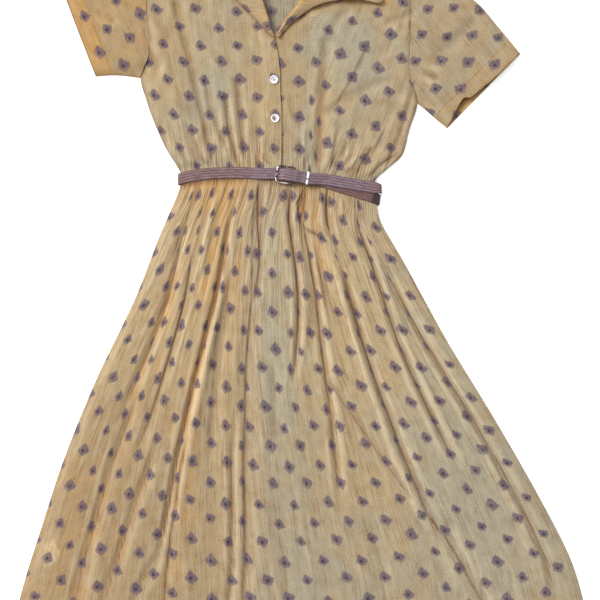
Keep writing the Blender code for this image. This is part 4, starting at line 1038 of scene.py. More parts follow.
# Painted highlight on crests and painted shade in hollows; the upper skirt is made lighter, and the band by
# the right edge less pale.
relief = local_relief(top) + 0.25 * (1.0 - smooth((down - 0.1) / 0.4))
relief = relief - 0.5 * smooth((across - 0.93) / 0.04) * smooth((down - 0.3) / 0.3)
warmth = TINT_STRENGTH * patched(across, down, SKIRT_TINTS)
warmth = warmth - smooth((across - 0.3) / 0.35) * between(0.28, 0.36, smooth((down - 0.3) / 0.4))
below_belt = waist_y(x) - 10.0 - y
belt_shade = fade(below_belt, BELT_SHADE) * between(1.0, 0.5, smooth(across / 0.5))
crease = np.maximum(crease, belt_shade)
mark = np.hypot((x - STAIN[0]) / 14.0, (y - STAIN[1]) / 30.0) + 0.35 * cloudy(x / 9.0, y / 9.0, 5)
stained = 1.0 - smooth((mark - 0.6) / 0.6)
warmth, relief = warmth + 0.2 * stained, np.maximum(relief, 0.75 * stained)
# Painted shade in a teardrop-shaped hollow below the keeper, dark and warm; the belt's painted shadow is made
# warm too.
teardrop_shade = np.exp(-((x - 3.0 - 0.1 * (y - 107.0)) / 5.5) ** 4 - ((y - 109.0) / 26.0) ** 4)
warmth = warmth + 1.4 * teardrop_shade + 0.6 * belt_shade
crease = np.maximum(crease, 0.55 * teardrop_shade)
# Painted shade: the lower skirt is darker, most on the left, but not on the stain.
lower_shade = between(0.24, 0.1, smooth(across / 0.7)) * smooth((down - 0.35) / 0.4)
crease = np.maximum(crease, lower_shade * (1.0 - stained))
streaked = 0.16 + 0.8 * fade(down, 0.2)
skirt_front = cloth_sheet("skirt_front_cloth", x, y, top, u, v, warmth, crease, relief, streaked)
columns_first = np.stack([x, y, top], axis=2).transpose(1, 0, 2)
SEWN_LINES["skirt_hem"] = [level_line(columns_first, to_hem.T, HEM_DEPTH - HEM_STITCH)]
print("skirt front:", len(skirt_front.data.polygons), "faces")

# %% The skirt's back
x, y = skirt_plan(*BACK_GRID)
u, v = skirt_cloth(x, y)
top = belt_lift(x, y) + CLOTH_WALL + 0.1
skirt_back = cloth_sheet("skirt_back_cloth", x, y, top, u, v, 0.0, 0.0, 0.0, 0.7,
                         materials=(REVERSE, FACE))
print("skirt back:", len(skirt_back.data.polygons), "faces")

# %% [markdown]
# ## The bodice
# Two fronts lap at the closure, the wearer's right one on top, and the back shows only inside the neck.
# The grain of each front is a little different as it lies: the right front's threads fan out from the
# waist, and the left front's turn clockwise beyond the long crease beside the closure. So each front
# has its own way from plan to flat coordinates.

# %% Plans of the fronts
BAND_WIDTH = 27.0           # the folded band along the closing edge
BAND_STITCH = 4.0           # the stitched line beside that edge
WAIST_PRINT = 383.6         # y of a square on the right front's even columns
SQUARE_UP = GRAIN_STEP / MM / 60.4
FAN_X, FAN_Y, FAN_RATE, FAN_SHIFT = -50.0, 443.6, 0.00095, 65.1
RUMPLE_HEIGHTS = (1.6, 0.8)     # the bodice's broad rumples, in millimetres


def bodice_plan(table, row_count, column_count):
    shares = np.linspace(0.0, 1.0, column_count)
    x, y = panel_grid(table, even_stations(table, row_count, 0.2), shares, arch_rows=4.0)
    y[0] += SEAM_GAP / 2
    return x, y


def right_front_cloth(x, y):
    """Threads that fan out from the waist."""
    fanned = (x - FAN_X) * np.exp(FAN_RATE * (FAN_Y - y))
    return fanned + FAN_SHIFT, (WAIST_PRINT - y) * SQUARE_UP


def turned_cloth(x, y, x0, y0, degrees, across_scale, down_scale):
    """Flat coordinates about one square, with the grain turned clockwise from straight down."""
    turn = math.radians(degrees)
    dx, dy = x - x0, y - y0
    u = (dx * math.cos(turn) + dy * math.sin(turn)) * across_scale
    v = (dx * math.sin(turn) - dy * math.cos(turn)) * down_scale
    return u, v


def left_front_cloth(x, y):
    """Straight threads beside the closure, and threads turned by 20 degrees beyond the long crease."""
    u, v = turned_cloth(x, y, 87.5, 326.4, -20.7, 1.0, 1.095)
    share = smooth((x - 3.5) / 38.5)
    return (between(x + 5.25, u + 105.0, share),
            between((379.6 - y) * SQUARE_UP, v + GRAIN_STEP / MM / 2, share))


SMALL_CREASES = named(Crease, [
    (-81, 176, -68, 186, -54, 176, 4, 0.60, -1), (-241, 428, -226, 347, -203, 274, 8, 0.30, 1),
    (194, 365, 184, 336, 171, 307, 5, 0.35, 0), (119, 428, 133, 412, 147, 400, 6, 0.30, 0),
    (112, 377, 92, 335, 66, 290, 7, 0.30, -1), (150, 290, 120, 262, 104, 226, 6, 0.30, 0),
    (8, 420, 14, 396, 10, 366, 6, 0.30, 0), (-120, 460, -104, 420, -108, 380, 7, 0.25, 0),
    (80, 214, 76, 190, 70, 168, 4, 0.45, 1), (140, 226, 128, 200, 112, 176, 4, 0.45, -1),
    (-72, 214, -74, 192, -78, 172, 4, 0.40, 1), (-190, 232, -180, 204, -168, 178, 4, 0.45, 1),
    (60, 230, 56, 200, 52, 170, 4, 0.40, -1), (2, 206, 4, 188, 6, 166, 4, 0.40, 1),
])
BODICE_TINTS = named(Patch, [
    (-240, 400, 50, 90, 0.5), (-150, 420, 60, 60, -0.2), (-150, 300, 35, 60, -0.6),
    (-60, 300, 25, 80, 0.6), (-20, 300, 25, 60, 0.4), (-90, 180, 60, 30, 0.4), (60, 400, 50, 40, -0.6),
    (20, 380, 20, 60, -0.3), (120, 330, 60, 60, -0.5), (100, 190, 60, 30, 0.3), (35, 250, 12, 80, 0.8),
    (10, 220, 15, 60, -0.7), (170, 200, 20, 50, 0.5), (150, 430, 60, 40, 0.1), (90, 400, 70, 60, -0.5),
    (-190, 300, 40, 70, -0.3),
])


def bodice_top(x, y, u, v):
    """The face of a front: solid's height, crinkles and creases, drawn down into the side seams; and its
    painted shade.
    """
    step, crease = plan_creases(x, y, BODICE_CREASES + SMALL_CREASES)
    left, right = side_edges(y)
    to_seam = np.minimum(x - left, right - x)
    seam_dip = fade(to_seam, 2.5)
    free = 1.0 - PRESSED_FLAT * pressed(x, y)
    gathered = 0.5 + 1.7 * fade(y - waist_y(x), 45.0)
    rumples = RUMPLE_HEIGHTS[0] * slanting(x, y, 0.7, (30.0, 75.0), 6)
    rumples = rumples + RUMPLE_HEIGHTS[1] * slanting(x, y, -0.4, (17.0, 40.0), 7)
    wrinkles = crinkle(u, v, 0.75 * gathered) + rumples
    height = front_low(x, y) + FRONT_WALL + free * (step + wrinkles) - 0.5 * seam_dip
    # painted shade in the creases and where the cloth dips into the side seams
    return height, np.maximum(crease, 0.5 * seam_dip)


def front_warmth(x, y):
    cooler = fade(y - waist_y(x), 70.0) * between(0.3, 0.5, smooth((x + 90.0) / 60.0))
    return TINT_STRENGTH * patched(x, y, BODICE_TINTS) - 0.25 - cooler


def front_streaks(x, y):
    """The bodice is smooth above and crinkled where the waist gathers it."""
    return 0.06 + 1.1 * fade(y - waist_y(x), 36.0)


# %% The three panels of the bodice
x, y = bodice_plan(TOP_FRONT, 150, 110)
u, v = right_front_cloth(x, y)
top, crease = bodice_top(x, y, u, v)
to_band = x[:, -1:] - x
doubled, groove = double_edge(to_band, BAND_WIDTH, 1.5, 0.0, 1.5)
band = 0.5 * doubled - 0.45 * groove - 0.3 * bell(to_band - BAND_STITCH, 1.3)
top = top + lap(x, y) + band
# Painted shadow along the outer edge of the left collar wing.
wing_x = along([(row.edge_y, row.edge_x) for row in LEFT_WING], y)
shadow_beside_wing = fade(wing_x - x, 4.0) * (y > LEFT_WING[0].edge_y) * (y < LEFT_WING[-1].edge_y)
crease = np.maximum(crease, 0.5 * shadow_beside_wing)
bodice_right = cloth_sheet("bodice_right_cloth", x, y, top, u, v, front_warmth(x, y), crease,
                           local_relief(top), front_streaks(x, y))

below_neck = y[:, -1] < 395.0
face = np.stack([x, y, top], axis=2)[below_neck]
SEWN_LINES["placket"] = [level_line(face, to_band[below_neck], away)
                         for away in (BAND_STITCH, BAND_WIDTH - HEM_STITCH)]

x, y = bodice_plan(UNDER_FRONT, 150, 120)
u, v = left_front_cloth(x, y)
top, crease = bodice_top(x, y, u, v)
closing = along([(row.right_y, row.right_x) for row in TOP_FRONT], y)
in_shade = 0.35 * fade(x - closing, 4.0) * (y < 405.0)
# Painted shadow below the right collar wing, a little dark and strongly warm.
wing_y = along([(row.edge_x, row.edge_y) for row in RIGHT_WING] + [(170, 480)], x)
shadow_below_wing = fade(wing_y - y, 9.0) * (x > -45.0) * (x < 165.0)
crease = np.maximum(np.maximum(crease, in_shade), 0.12 * shadow_below_wing)
bodice_left = cloth_sheet("bodice_left_cloth", x, y, top, u, v, front_warmth(x, y) + 1.3 * shadow_below_wing,
                          crease, local_relief(top), front_streaks(x, y))

whole = [Section(*a[:2], *b[2:]) for a, b in zip(TOP_FRONT, UNDER_FRONT)]
shares = np.linspace(0.0, 1.0, 90)
stations = even_stations(whole, 110, 0.0)
x, y = panel_grid(whole, stations, shares, arch_rows=4.0)
y[0] += SEAM_GAP / 2
for r, station in enumerate(stations):
    y[r] += along(BACK_NECK, shares) * smooth((station - 7.0) / 4.0)
u, v = x + 51.0, 445.7 - y
top = belt_lift(x, y) + CLOTH_WALL + 0.1 + 0.12 * cloudy(u / 9.0, v / 60.0, 4)
# The back, seen inside the neck, is cooler and carries a little painted shade.
bodice_back = cloth_sheet("bodice_back_cloth", x, y, top, u, v, -0.8, 0.12, 0.0, 0.3,
                          materials=(REVERSE, FACE))
print("bodice:", [len(o.data.polygons) for o in (bodice_right, bodice_left, bodice_back)], "faces")

# %% [markdown]
# ## The sleeves
# A sleeve laid flat is a flattened tube, sewn into the armhole at one end and turned up into a deep hem
# at the other. It is made of rings from the armhole to the hem. The first ring follows the armhole
# itself. The left sleeve's upper layer is pulled back at its hem, so the inside of its lower layer
# shows there.

# %% Rings of a sleeve
SLEEVE_CUT_BACK = [(0.0, 1.0), (0.07, 3.5), (0.26, 17.0), (0.31, 17.5), (0.36, 8.0), (0.54, 4.5),
                   (0.7, 1.5), (1.0, 0.5)]
CUT_BACK_WAY, CUT_BACK_FROM = math.radians(135), 0.8
SLEEVE_ENDS = 0.02
SLEEVE_HEM = 31.0
SLEEVE_GRID = (90, 100)      # rings, and points across each layer


def armhole_points(table, side):
    stations = np.linspace(UNDERARM_ROW, len(table) - 1, 60)
    first = 0 if side == "left" else 2
    return np.array([through(table, s)[first:first + 2] for s in stations])


def sleeve_rings(sections, armhole, cut_back, ring_count, share_count):
    """The shares across, the plans of the lower and upper layers, and the upper layer's underside."""
    walked = walked_along(armhole)
    walked = walked / walked[-1]
    shares = np.linspace(0.0, 1.0, share_count)
    shares = np.unique(np.concatenate([shares, [SLEEVE_ENDS, 1.0 - SLEEVE_ENDS]]))
    hem_side = math.copysign(1.0, sections[-1].left_x)
    first = np.stack([np.interp(shares, walked, armhole[:, 0]) + hem_side * SEAM_GAP,
                      np.interp(shares, walked, armhole[:, 1])], axis=1)
    straight = np.stack([between(first[0, 0], first[-1, 0], shares),
                         between(first[0, 1], first[-1, 1], shares)], axis=1)
    bend = first - straight
    plans, uppers, lows = [], [], []
    for down in np.linspace(0.0, 1.0, ring_count):
        left_x, left_y, right_x, right_y = through(sections, down * (len(sections) - 1))
        plan = np.stack([between(left_x, right_x, shares), between(left_y, right_y, shares)], axis=1)
        plan = first if down == 0.0 else plan + bend * (1.0 - smooth(down / 0.6))
        width = math.hypot(right_x - left_x, right_y - left_y)
        own = edge_rise(np.minimum(shares, 1.0 - shares) * width, 15.0) * SLEEVE_CROWN
        own = own * crease_share(plan[:, 0], plan[:, 1], SLEEVE_CREASES)
        low = SLEEVE_WALL + 0.7 + own
        low = between(front_low(plan[:, 0], plan[:, 1]) + 0.4, low, smooth(down / 0.35))
        retreat = np.zeros_like(plan)
        if cut_back and down > CUT_BACK_FROM:
            toward = np.array([math.cos(CUT_BACK_WAY), math.sin(CUT_BACK_WAY)])
            retreat = np.outer(along(SLEEVE_CUT_BACK, shares), toward)
            retreat = retreat * (down - CUT_BACK_FROM) / (1.0 - CUT_BACK_FROM)
        plans.append(plan)
        uppers.append(plan + retreat)
        lows.append(low)
    return shares, np.array(plans), np.array(uppers), np.array(lows)


def make_sleeve(name, sections, armhole, cut_back, grain, glow):
    shares, plan, upper, low = sleeve_rings(sections, armhole, cut_back, *SLEEVE_GRID)
    count, sides = low.shape
    wide, tall = upper[:, :, 0], upper[:, :, 1]
    u, v = grain(wide, tall)
    walked = down_each_column(plan[:, :, 0], plan[:, :, 1])
    to_hem = walked[-1] - walked
    doubled, groove = double_edge(to_hem, SLEEVE_HEM, 2.0, 1.0, 1.8)
    from_seam = np.broadcast_to(np.linspace(0.0, 1.0, count)[:, None], low.shape)
    inside = smooth(np.minimum(shares, 1.0 - shares) / 0.06)[None, :]
    rumples = 1.3 * slanting(wide, tall, 0.8, (27.0, 60.0), 6)
    wrinkles = crinkle(u, v, 0.45) + rumples + 0.5 * doubled - 0.5 * groove
    wrinkles = wrinkles * inside * smooth(from_seam / 0.04)
    near_seam = fade(from_seam, 0.015)
    top = low + SLEEVE_WALL + wrinkles - 0.4 * near_seam
    shares_first = np.dstack([upper, top]).transpose(1, 0, 2)[6:-6]
    sewn = level_line(shares_first, to_hem.T[6:-6], SLEEVE_HEM - HEM_STITCH)
    SEWN_LINES[name.replace("cloth", "hem")] = [sewn]
    edge_z = SLEEVE_WALL + 0.3
    middle = slice(1, -1)
    layers = []
    for wall, inset in ((0.0, 0.0), (CLOTH_WALL, 1.5)):
        for r in range(count):
            across = (plan[r, -1] - plan[r, 0]) / np.linalg.norm(plan[r, -1] - plan[r, 0])
            start = [*(plan[r, 0] + across * inset), edge_z]
            end = [*(plan[r, -1] - across * inset), edge_z]
            below = np.column_stack([plan[r, middle], np.full(sides - 2, wall)])
            above = np.column_stack([upper[r, middle], top[r, middle] - wall])[::-1]
            layers.append(np.vstack([start, below, end, above]))
    ring = len(layers[0])
    skin = grid_quads(count, ring, wrap=True)
    total = count * ring
    ends = []
    for begin in (0, (count - 1) * ring):
        for s in range(ring):
            a, b = begin + s, begin + (s + 1) % ring
            ends.append((a, b, b + total, a + total))
    faces = np.concatenate([skin, skin + total, np.array(ends)])
    inner_marks = np.concatenate([np.zeros(len(skin)), np.ones(len(skin)), np.zeros(len(ends))])

    def round_ring(lower, over):
        """Values for the lower layer and the upper one, in the order of a ring's points."""
        return np.concatenate([lower, over[:, middle][:, ::-1]], axis=1)

    flat_u, flat_v = grain(plan[:, :, 0], plan[:, :, 1])
    ring_u, ring_v = round_ring(flat_u, u), round_ring(flat_v, v)
    zero = np.zeros((count, sides))
    hem_glow = 0.45 * doubled + glow
    # Painted shade in the hem's groove, by the armhole seam and along the hem's edge, and a little over the
    # whole sleeve.
    crease = np.maximum(0.25 * groove * inside, 0.3 * near_seam)
    crease = np.maximum(crease, 0.7 * fade(to_hem, 1.6)) + 0.12
    # Painted shade on the lower layer, darker away from the hem, toward the gap under the upper layer.
    gap_shade = 0.5 * smooth((to_hem - 4.0) / 9.0)
    paints = {"warmth": round_ring(zero + 1.2, hem_glow), "crease": round_ring(gap_shade, crease),
              "relief": round_ring(zero, local_relief(top)), "crinkled": np.full(ring_u.shape, 0.08)}
    cloth = np.tile(np.stack([ring_u.ravel(), ring_v.ravel()], axis=1), (2, 1))
    return build(name, np.concatenate(layers), faces, inner_marks, cloth,
                 {key: np.tile(value.ravel(), 2) for key, value in paints.items()}, (FACE, REVERSE))


# %% Both sleeves
def right_sleeve_cloth(x, y):
    return turned_cloth(x, y, -339.5, 412.7, 23.0, 35.0 / 30.5, 67.7 / 71.0)


def left_sleeve_cloth(x, y):
    return turned_cloth(x, y, 255.0, 399.2, 37.5, 35.0 / 36.2, 67.7 / 59.5)


sleeve_right = make_sleeve("sleeve_right_cloth", SLEEVE_RIGHT, armhole_points(TOP_FRONT, "left"), False,
                           right_sleeve_cloth, 0.3)
sleeve_left = make_sleeve("sleeve_left_cloth", SLEEVE_LEFT, armhole_points(UNDER_FRONT, "right"), True,
                          left_sleeve_cloth, -0.4)
print("sleeves:", len(sleeve_right.data.polygons), len(sleeve_left.data.polygons), "faces")

# %% [markdown]
# ## The collar
# A shirt collar is one folded piece: it rises from the neck seam, rolls over and falls to its outer
# edge. Each row of its table, which stands with the other sections, has the place of its roll and its
# edge. The left wing lies flat, and the right wing stands a few millimetres off the front and shades it.

# %% A ring round one section of the collar
COLLAR_FINE_WALL = 1.2
COLLAR_STITCH = 5.0          # from the edge to its stitched line


def collar_path(row):
    """One section's middle line, as distances out from the roll with heights, and its direction."""
    out = np.array([row.edge_x - row.roll_x, row.edge_y - row.roll_y])
    width = np.hypot(*out)
    out = out / width
    half = COLLAR_WALL / 2

    def rests(distance):
        px, py = row.roll_x + out[0] * distance, row.roll_y + out[1] * distance
        return float(ground(px, py)) + half + COLLAR_GAP

    seam_z = rests(row.seam_out)
    roll_z = seam_z + row.stand
    edge_z = rests(width) + row.edge_lift
    path = [(row.seam_out, seam_z), (between(row.seam_out, 0.0, 0.75), seam_z + 0.4 * row.stand),
            (0.2, seam_z + 0.8 * row.stand), (min(2.5, 0.3 * width), roll_z)]
    for share, sag in ((0.3, 0.86), (0.5, 0.55), (0.75, 0.2), (1.0, 0.0)):
        distance = width * share
        over_stand = COLLAR_WALL + 0.6 if distance < row.seam_out + 5.0 else 0.0
        path.append((distance, max(between(edge_z, roll_z, sag), rests(distance) + over_stand)))
    return np.array(path), out


def collar_ring(row):
    """A closed ring round one section, its points' distances along the cloth, and those to its edge."""
    path, out = collar_path(row)
    fine = np.array([through(path, s) for s in np.linspace(0.0, len(path) - 1.0, 29)])
    run = np.gradient(fine, axis=0)
    normal = np.stack([-run[:, 1], run[:, 0]], axis=1)
    normal = normal / np.linalg.norm(normal, axis=1)[:, None]
    half = COLLAR_FINE_WALL / 2
    to_edge = np.linalg.norm(fine - fine[-1], axis=1)
    stitched = 0.25 * bell(to_edge - COLLAR_STITCH, 1.4)
    face = fine + normal * (half - stitched)[:, None]
    back = (fine - normal * half)[::-1]
    ring = [[row.roll_x + out[0] * d, row.roll_y + out[1] * d, z] for d, z in np.concatenate([face, back])]
    walked = walked_along(fine)
    return ring, np.concatenate([walked, walked[::-1]]), np.concatenate([to_edge, to_edge[::-1]])


# %% Build the collar
rows = [CollarRow(*through(COLLAR, s)) for s in np.linspace(0.0, len(COLLAR) - 1.0, 240)]
rings, v, to_edge = (np.array(part) for part in zip(*[collar_ring(row) for row in rows]))
half_fall = 20               # the point of each ring whose line gives the cloth's length
u = np.broadcast_to(walked_along(rings[:, half_fall])[:, None], v.shape)
count, ring = v.shape
skin = grid_quads(count, ring, wrap=True)
caps = [list(range(ring)), list(range((count - 1) * ring, count * ring))]


def capped(faces, caps):
    """Closes each end with quads across the thin section."""
    extra = []
    for cap in caps:
        half = len(cap) // 2
        for k in range(half - 1):
            extra.append((cap[k], cap[k + 1], cap[-k - 2], cap[-k - 1]))
    return np.concatenate([faces, np.array(extra)])


faces = capped(skin, caps)
half_ring = ring // 2
under_face = (np.arange(ring) >= half_ring).astype(float)
marks = np.concatenate([np.tile(under_face, count - 1), np.zeros(len(faces) - len(skin))])
tips = slice(16, -16)
stitched = level_line(rings[tips, :half_ring], to_edge[tips, :half_ring], COLLAR_STITCH)
SEWN_LINES["collar_edge"] = [stitched]
# Painted shade along the collar's outer edge and in its stitched groove.
crease = np.maximum(0.8 * bell(to_edge, 2.0), 0.45 * bell(to_edge - COLLAR_STITCH, 1.2))
paints = {"warmth": (0.1 + 0.3 * bell(v - 12.0, 7.0)).ravel(), "crease": crease.ravel(),
          "relief": np.full(v.size, 0.1), "crinkled": np.full(v.size, 0.1)}
cloth = np.stack([(u + 12.0).ravel(), (v + 20.0).ravel()], axis=1)
collar = build("collar_cloth", rings.reshape(-1, 3), faces, marks, cloth, paints, (FACE, REVERSE))
print("collar:", len(collar.data.polygons), "faces")

# %% [markdown]
# ## The belt
# The belt is one length of ribbed webbing. It is sewn round the buckle's hinge bar, goes round the back
# of the dress, comes through the buckle from the left and ends as the tail under the keeper. Webbing is
# woven with thick cords along it, so the strap's section is a row of rounded ribs with sharp grooves
# between them, and crossing threads too small to model go into its material.

# %% Webbing
WEBBING_MAUVE = srgb(109, 88, 99)
WEBBING_BROWN = srgb(108, 72, 58)
WEBBING_DARK = srgb(46, 30, 32)
WEBBING_PALE = srgb(166, 142, 150)
WEBBING_STREAKS = (900.0, 70.0)


def webbing_material():
    material, tree, shader = new_material("ribbed_webbing")
    flat = add(tree, "UVMap", uv_map="cloth").outputs[0]
    threads = add(tree, "TexWave", {"Vector": flat, "Scale": 160.0, "Distortion": 3.0, "Detail": 1.0},
                  wave_type="BANDS", bands_direction="Y")
    streak = noise(tree, flat, WEBBING_STREAKS, 2.0)
    colour = blend(tree, ramp(tree, painted(tree, "warmth"), 0.0, 1.0), WEBBING_MAUVE, WEBBING_BROWN)
    colour = blend(tree, ramp(tree, streak, 0.4, 0.7, 0.0, 0.45), colour, WEBBING_PALE)
    # painted shade from the crease value, and darker streaks of the weave
    dark = sum_up(tree, "MAXIMUM", times(tree, painted(tree, "crease"), 0.85),
                  ramp(tree, streak, 0.5, 0.25, 0.0, 0.4))
    bump = add(tree, "Bump", {"Height": threads.outputs["Fac"], "Strength": 0.5, "Distance": 0.0005})
    wire(tree, shader, {"Base Color": blend(tree, dark, colour, WEBBING_DARK), "Normal": bump.outputs[0],
                        "Roughness": 0.8, "Sheen Weight": 0.15})
    return material


WEBBING = webbing_material()
print("belt material:", WEBBING.name)

# %% Where the strap runs
StrapRow = namedtuple("StrapRow", "x y z skew")
BELT_WIDTH, BELT_THICK, BELT_RIBS, RIB_DEPTH = 20.0, 1.6, 4, 0.3
BUCKLE_X, BUCKLE_Y, BUCKLE_TURN = -26.0, 156.0, -9.0
BUCKLE_HALF_WIDTH, BUCKLE_HALF_HEIGHT, BUCKLE_CORNER = 16.8, 14.4, 6.0
BUCKLE_WIRE, HINGE_WIRE, PRONG_WIRE = 1.5, 1.0, 0.9
BUCKLE_Z = 3.3
KEEPER_ALONG, KEEPER_WIDTH, KEEPER_WIRE = 21.5, 4.2, 0.9
STRAP_MIDDLE = BELT_LIFT + BACK_WALL + SEAM_GAP + FRONT_WALL + 0.5 + BELT_THICK / 2
UNDER_MIDDLE = BELT_THICK / 2
BUCKLE_BASE = STRAP_MIDDLE + LAP_RISE + float(bed(np.array(BUCKLE_X)))
LOOP_RADIUS = HINGE_WIRE + 0.3 + BELT_THICK / 2


def placed(row):
    """A row's place in the scene, in metres."""
    return (row.x * MM, (row.y - LAID_MIDDLE_Y) * MM, row.z * MM)


def strap_z(x):
    return STRAP_MIDDLE + float(bed(np.array(float(x))))


def by_buckle(along_it, up, skew=-BUCKLE_TURN):
    """A strap row placed from the hinge bar, along the buckle's own direction."""
    turn = math.radians(BUCKLE_TURN)
    reach = BUCKLE_HALF_WIDTH + along_it
    return StrapRow(BUCKLE_X + reach * math.cos(turn), BUCKLE_Y + reach * math.sin(turn),
                    BUCKLE_BASE + up, skew)


def side_turn(x, y_from, y_to, z_from, z_to, outward, skew_from, skew_to):
    """The strap's half turn round one side of the dress."""
    rows = []
    for share in (0.0, 0.17, 0.34, 0.5, 0.66, 0.83, 1.0):
        angle = math.pi * share
        radius = abs(z_from - z_to) / 2
        rows.append(StrapRow(x + outward * radius * math.sin(angle), between(y_from, y_to, share),
                             (z_from + z_to) / 2 + (z_from - z_to) / 2 * math.cos(angle),
                             between(skew_from, skew_to, share)))
    return rows


def strap_route():
    """One length: from its stitched end under the hinge bar, round the dress, to the tail."""
    rows = [by_buckle(27.0, 1.2), by_buckle(14.0, 1.2), by_buckle(3.5, BUCKLE_Z - LOOP_RADIUS)]
    for degrees in (-90, -125, -160, 160, 125, 90):
        angle = math.radians(degrees)
        rows.append(by_buckle(LOOP_RADIUS * math.cos(angle), BUCKLE_Z + LOOP_RADIUS * math.sin(angle)))
    rows += [by_buckle(4.0, 5.0), by_buckle(10.0, 3.3), by_buckle(26.0, 3.2)]
    rows += [StrapRow(38, 145, strap_z(38) + 0.8, 15), StrapRow(58, 139, strap_z(58), 17),
             StrapRow(90, 129, strap_z(90), 17), StrapRow(118, 120.5, strap_z(118), 16)]
    rows += side_turn(135.2, 114.5, 112, STRAP_MIDDLE, UNDER_MIDDLE, 1.0, 10, 7)
    for x in (100, 0, -100, -180):
        rows.append(StrapRow(x, float(along(UNDER_STRAP, x)), UNDER_MIDDLE, 6.5))
    rows += side_turn(-212.5, 149, 150, UNDER_MIDDLE, STRAP_MIDDLE, -1.0, 4, -3)
    for x, skew in ((-195, -8), (-166, -4), (-130, -2), (-100, 0), (-84, 0)):
        rows.append(StrapRow(x, float(waist_y(x)), strap_z(x), skew))
    rows += [StrapRow(-64, float(waist_y(-64)), BUCKLE_BASE + 0.1, 3)]
    for reach, up in ((-36, 0.2), (-31.5, 0.5), (-28, 2.0), (-24.5, 5.6), (-21, 8.25), (-14, 8.4),
                      (-3.5, 8.2), (1.5, 8.1), (6, 6.7), (12, 5.3), (28, 5.2)):
        rows.append(by_buckle(reach, up, skew=7))
    rows += [StrapRow(40, 148.5, strap_z(40) + 2.9, 8), StrapRow(60, 145.5, strap_z(60) + 2.1, 9),
             StrapRow(90, 140.5, strap_z(90) + 2.1, 10), StrapRow(120, 135.5, strap_z(120) + 2.1, 9)]
    turn = side_turn(136.2, 133.5, 131.0, STRAP_MIDDLE + 2.1, -0.4, 1.0, 6, -8)
    return rows + turn[:5]


print("strap rows:", len(strap_route()))

# %% Build the strap
STRAP_STEPS = 6
SEWN_END = 190.0             # length of strap that lies below the tail, from its sewn end
TAIL_END = 60.0
PUCKER, PUCKER_FROM, PUCKER_WIDTH = 0.16, 131.0, 7.0        # it narrows where it turns back
EYELET = (-25.5, 6.0, 1.4, 9.0, 91.0)       # reach, height, radius, length and lean of its cutter


def strap_section():
    """Points across the outer side and back along the inner side, and how deep each is in a groove."""
    half, thick = BELT_WIDTH / 2, BELT_THICK / 2
    flat = half - 0.7
    points, grooves = [(-half, 0.0)], [0.2]
    for t in np.linspace(0.0, 1.0, 8 * BELT_RIBS + 1):
        depth = 1.0 - abs(math.sin(math.pi * BELT_RIBS * t)) ** 0.5
        points.append((between(-flat, flat, t), thick - RIB_DEPTH * 1.2 * depth))
        grooves.append(depth)
    points += [(half, 0.0), (flat, -thick), (0.0, -thick), (-flat, -thick)]
    return points, grooves + [0.2, 0.0, 0.0, 0.0]


def eyelet(reach, up, radius, length, lean):
    """A bar to cut a hole with, standing in the buckle's own plane."""
    bpy.ops.mesh.primitive_cylinder_add(
        vertices=20, radius=radius * MM, depth=length * MM, location=placed(by_buckle(reach, up)),
        rotation=(0.0, math.radians(lean), math.radians(BUCKLE_TURN)))
    return bpy.context.object


def cut(obj, cutter):
    """Takes a cutter's shape out of a piece, and removes the cutter."""
    modifier = obj.modifiers.new("hole", "BOOLEAN")
    modifier.object = cutter
    modifier.operation = "DIFFERENCE"
    modifier.solver = "EXACT"
    bpy.context.view_layer.objects.active = obj
    bpy.ops.object.modifier_apply(modifier=modifier.name)
    bpy.data.objects.remove(cutter, do_unlink=True)


route = np.array([tuple(row) for row in strap_route()])
stations = np.arange(0.0, len(route) - 1 + 1e-6, 1.0 / STRAP_STEPS)
fine = np.array([through(route, s) for s in stations])
centres = fine[:, :3]
skews = np.radians(fine[:, 3])
across = np.stack([np.sin(skews), np.cos(skews), np.zeros_like(skews)], axis=1)
ahead = np.gradient(centres, axis=0)
ahead = ahead / np.linalg.norm(ahead, axis=1)[:, None]
outward = np.cross(ahead, across)
outward = outward / np.linalg.norm(outward, axis=1)[:, None]
section, grooves = strap_section()
narrow = 1.0 - PUCKER * smooth((centres[:, 0] - PUCKER_FROM) / PUCKER_WIDTH)
rings = np.array([[c + t * w * a + n * o for w, n in section]
                  for c, a, o, t in zip(centres, across, outward, narrow)])
count, ring = rings.shape[:2]
walked = walked_along(centres)
skin = grid_quads(count, ring, wrap=True)
ends = [[begin + s for s in range(ring)] for begin in (0, (count - 1) * ring)]
outer_count = 8 * BELT_RIBS + 3
first_part, last_part = outer_count // 4, outer_count // 4 + outer_count // 2
extra = []
for end in ends:
    right, centre, left = end[-3:]
    for k in range(outer_count - 1):
        low = left if k < first_part else centre if k < last_part else right
        extra.append((end[k], end[k + 1], low))
    extra += [(left, end[first_part], centre), (centre, end[last_part], right)]
faces = [tuple(face) for face in skin] + extra
low_part = walked < SEWN_END
# Painted shade: the strap below the tail is darker, darkest where it turns into the loop at the right.
loop_shade = low_part * between(0.4, 1.9, smooth((centres[:, 0] - 122.0) / 10.0))
near_side = (walked > walked[-1] - TAIL_END) * smooth((centres[:, 0] - 110.0) / 30.0)
by_left = 0.55 * smooth((-40.0 - centres[:, 0]) / 90.0)
warmth = np.repeat(0.9 * low_part + 0.6 * near_side + by_left, ring)
# painted shade in the ribs' grooves and on the strap below the tail
paints = {"warmth": warmth, "crease": np.maximum(np.tile(grooves, count), np.repeat(loop_shade, ring)),
          "relief": np.zeros(count * ring)}
cloth = np.stack([np.tile([w for w, n in section], count), np.repeat(walked, ring)], axis=1)
belt = build("belt_webbing", rings.reshape(-1, 3), faces, np.zeros(len(faces)), cloth, paints, (WEBBING,))
cut(belt, eyelet(*EYELET))
print("belt:", len(belt.data.polygons), "faces,", round(walked[-1]), "mm long")

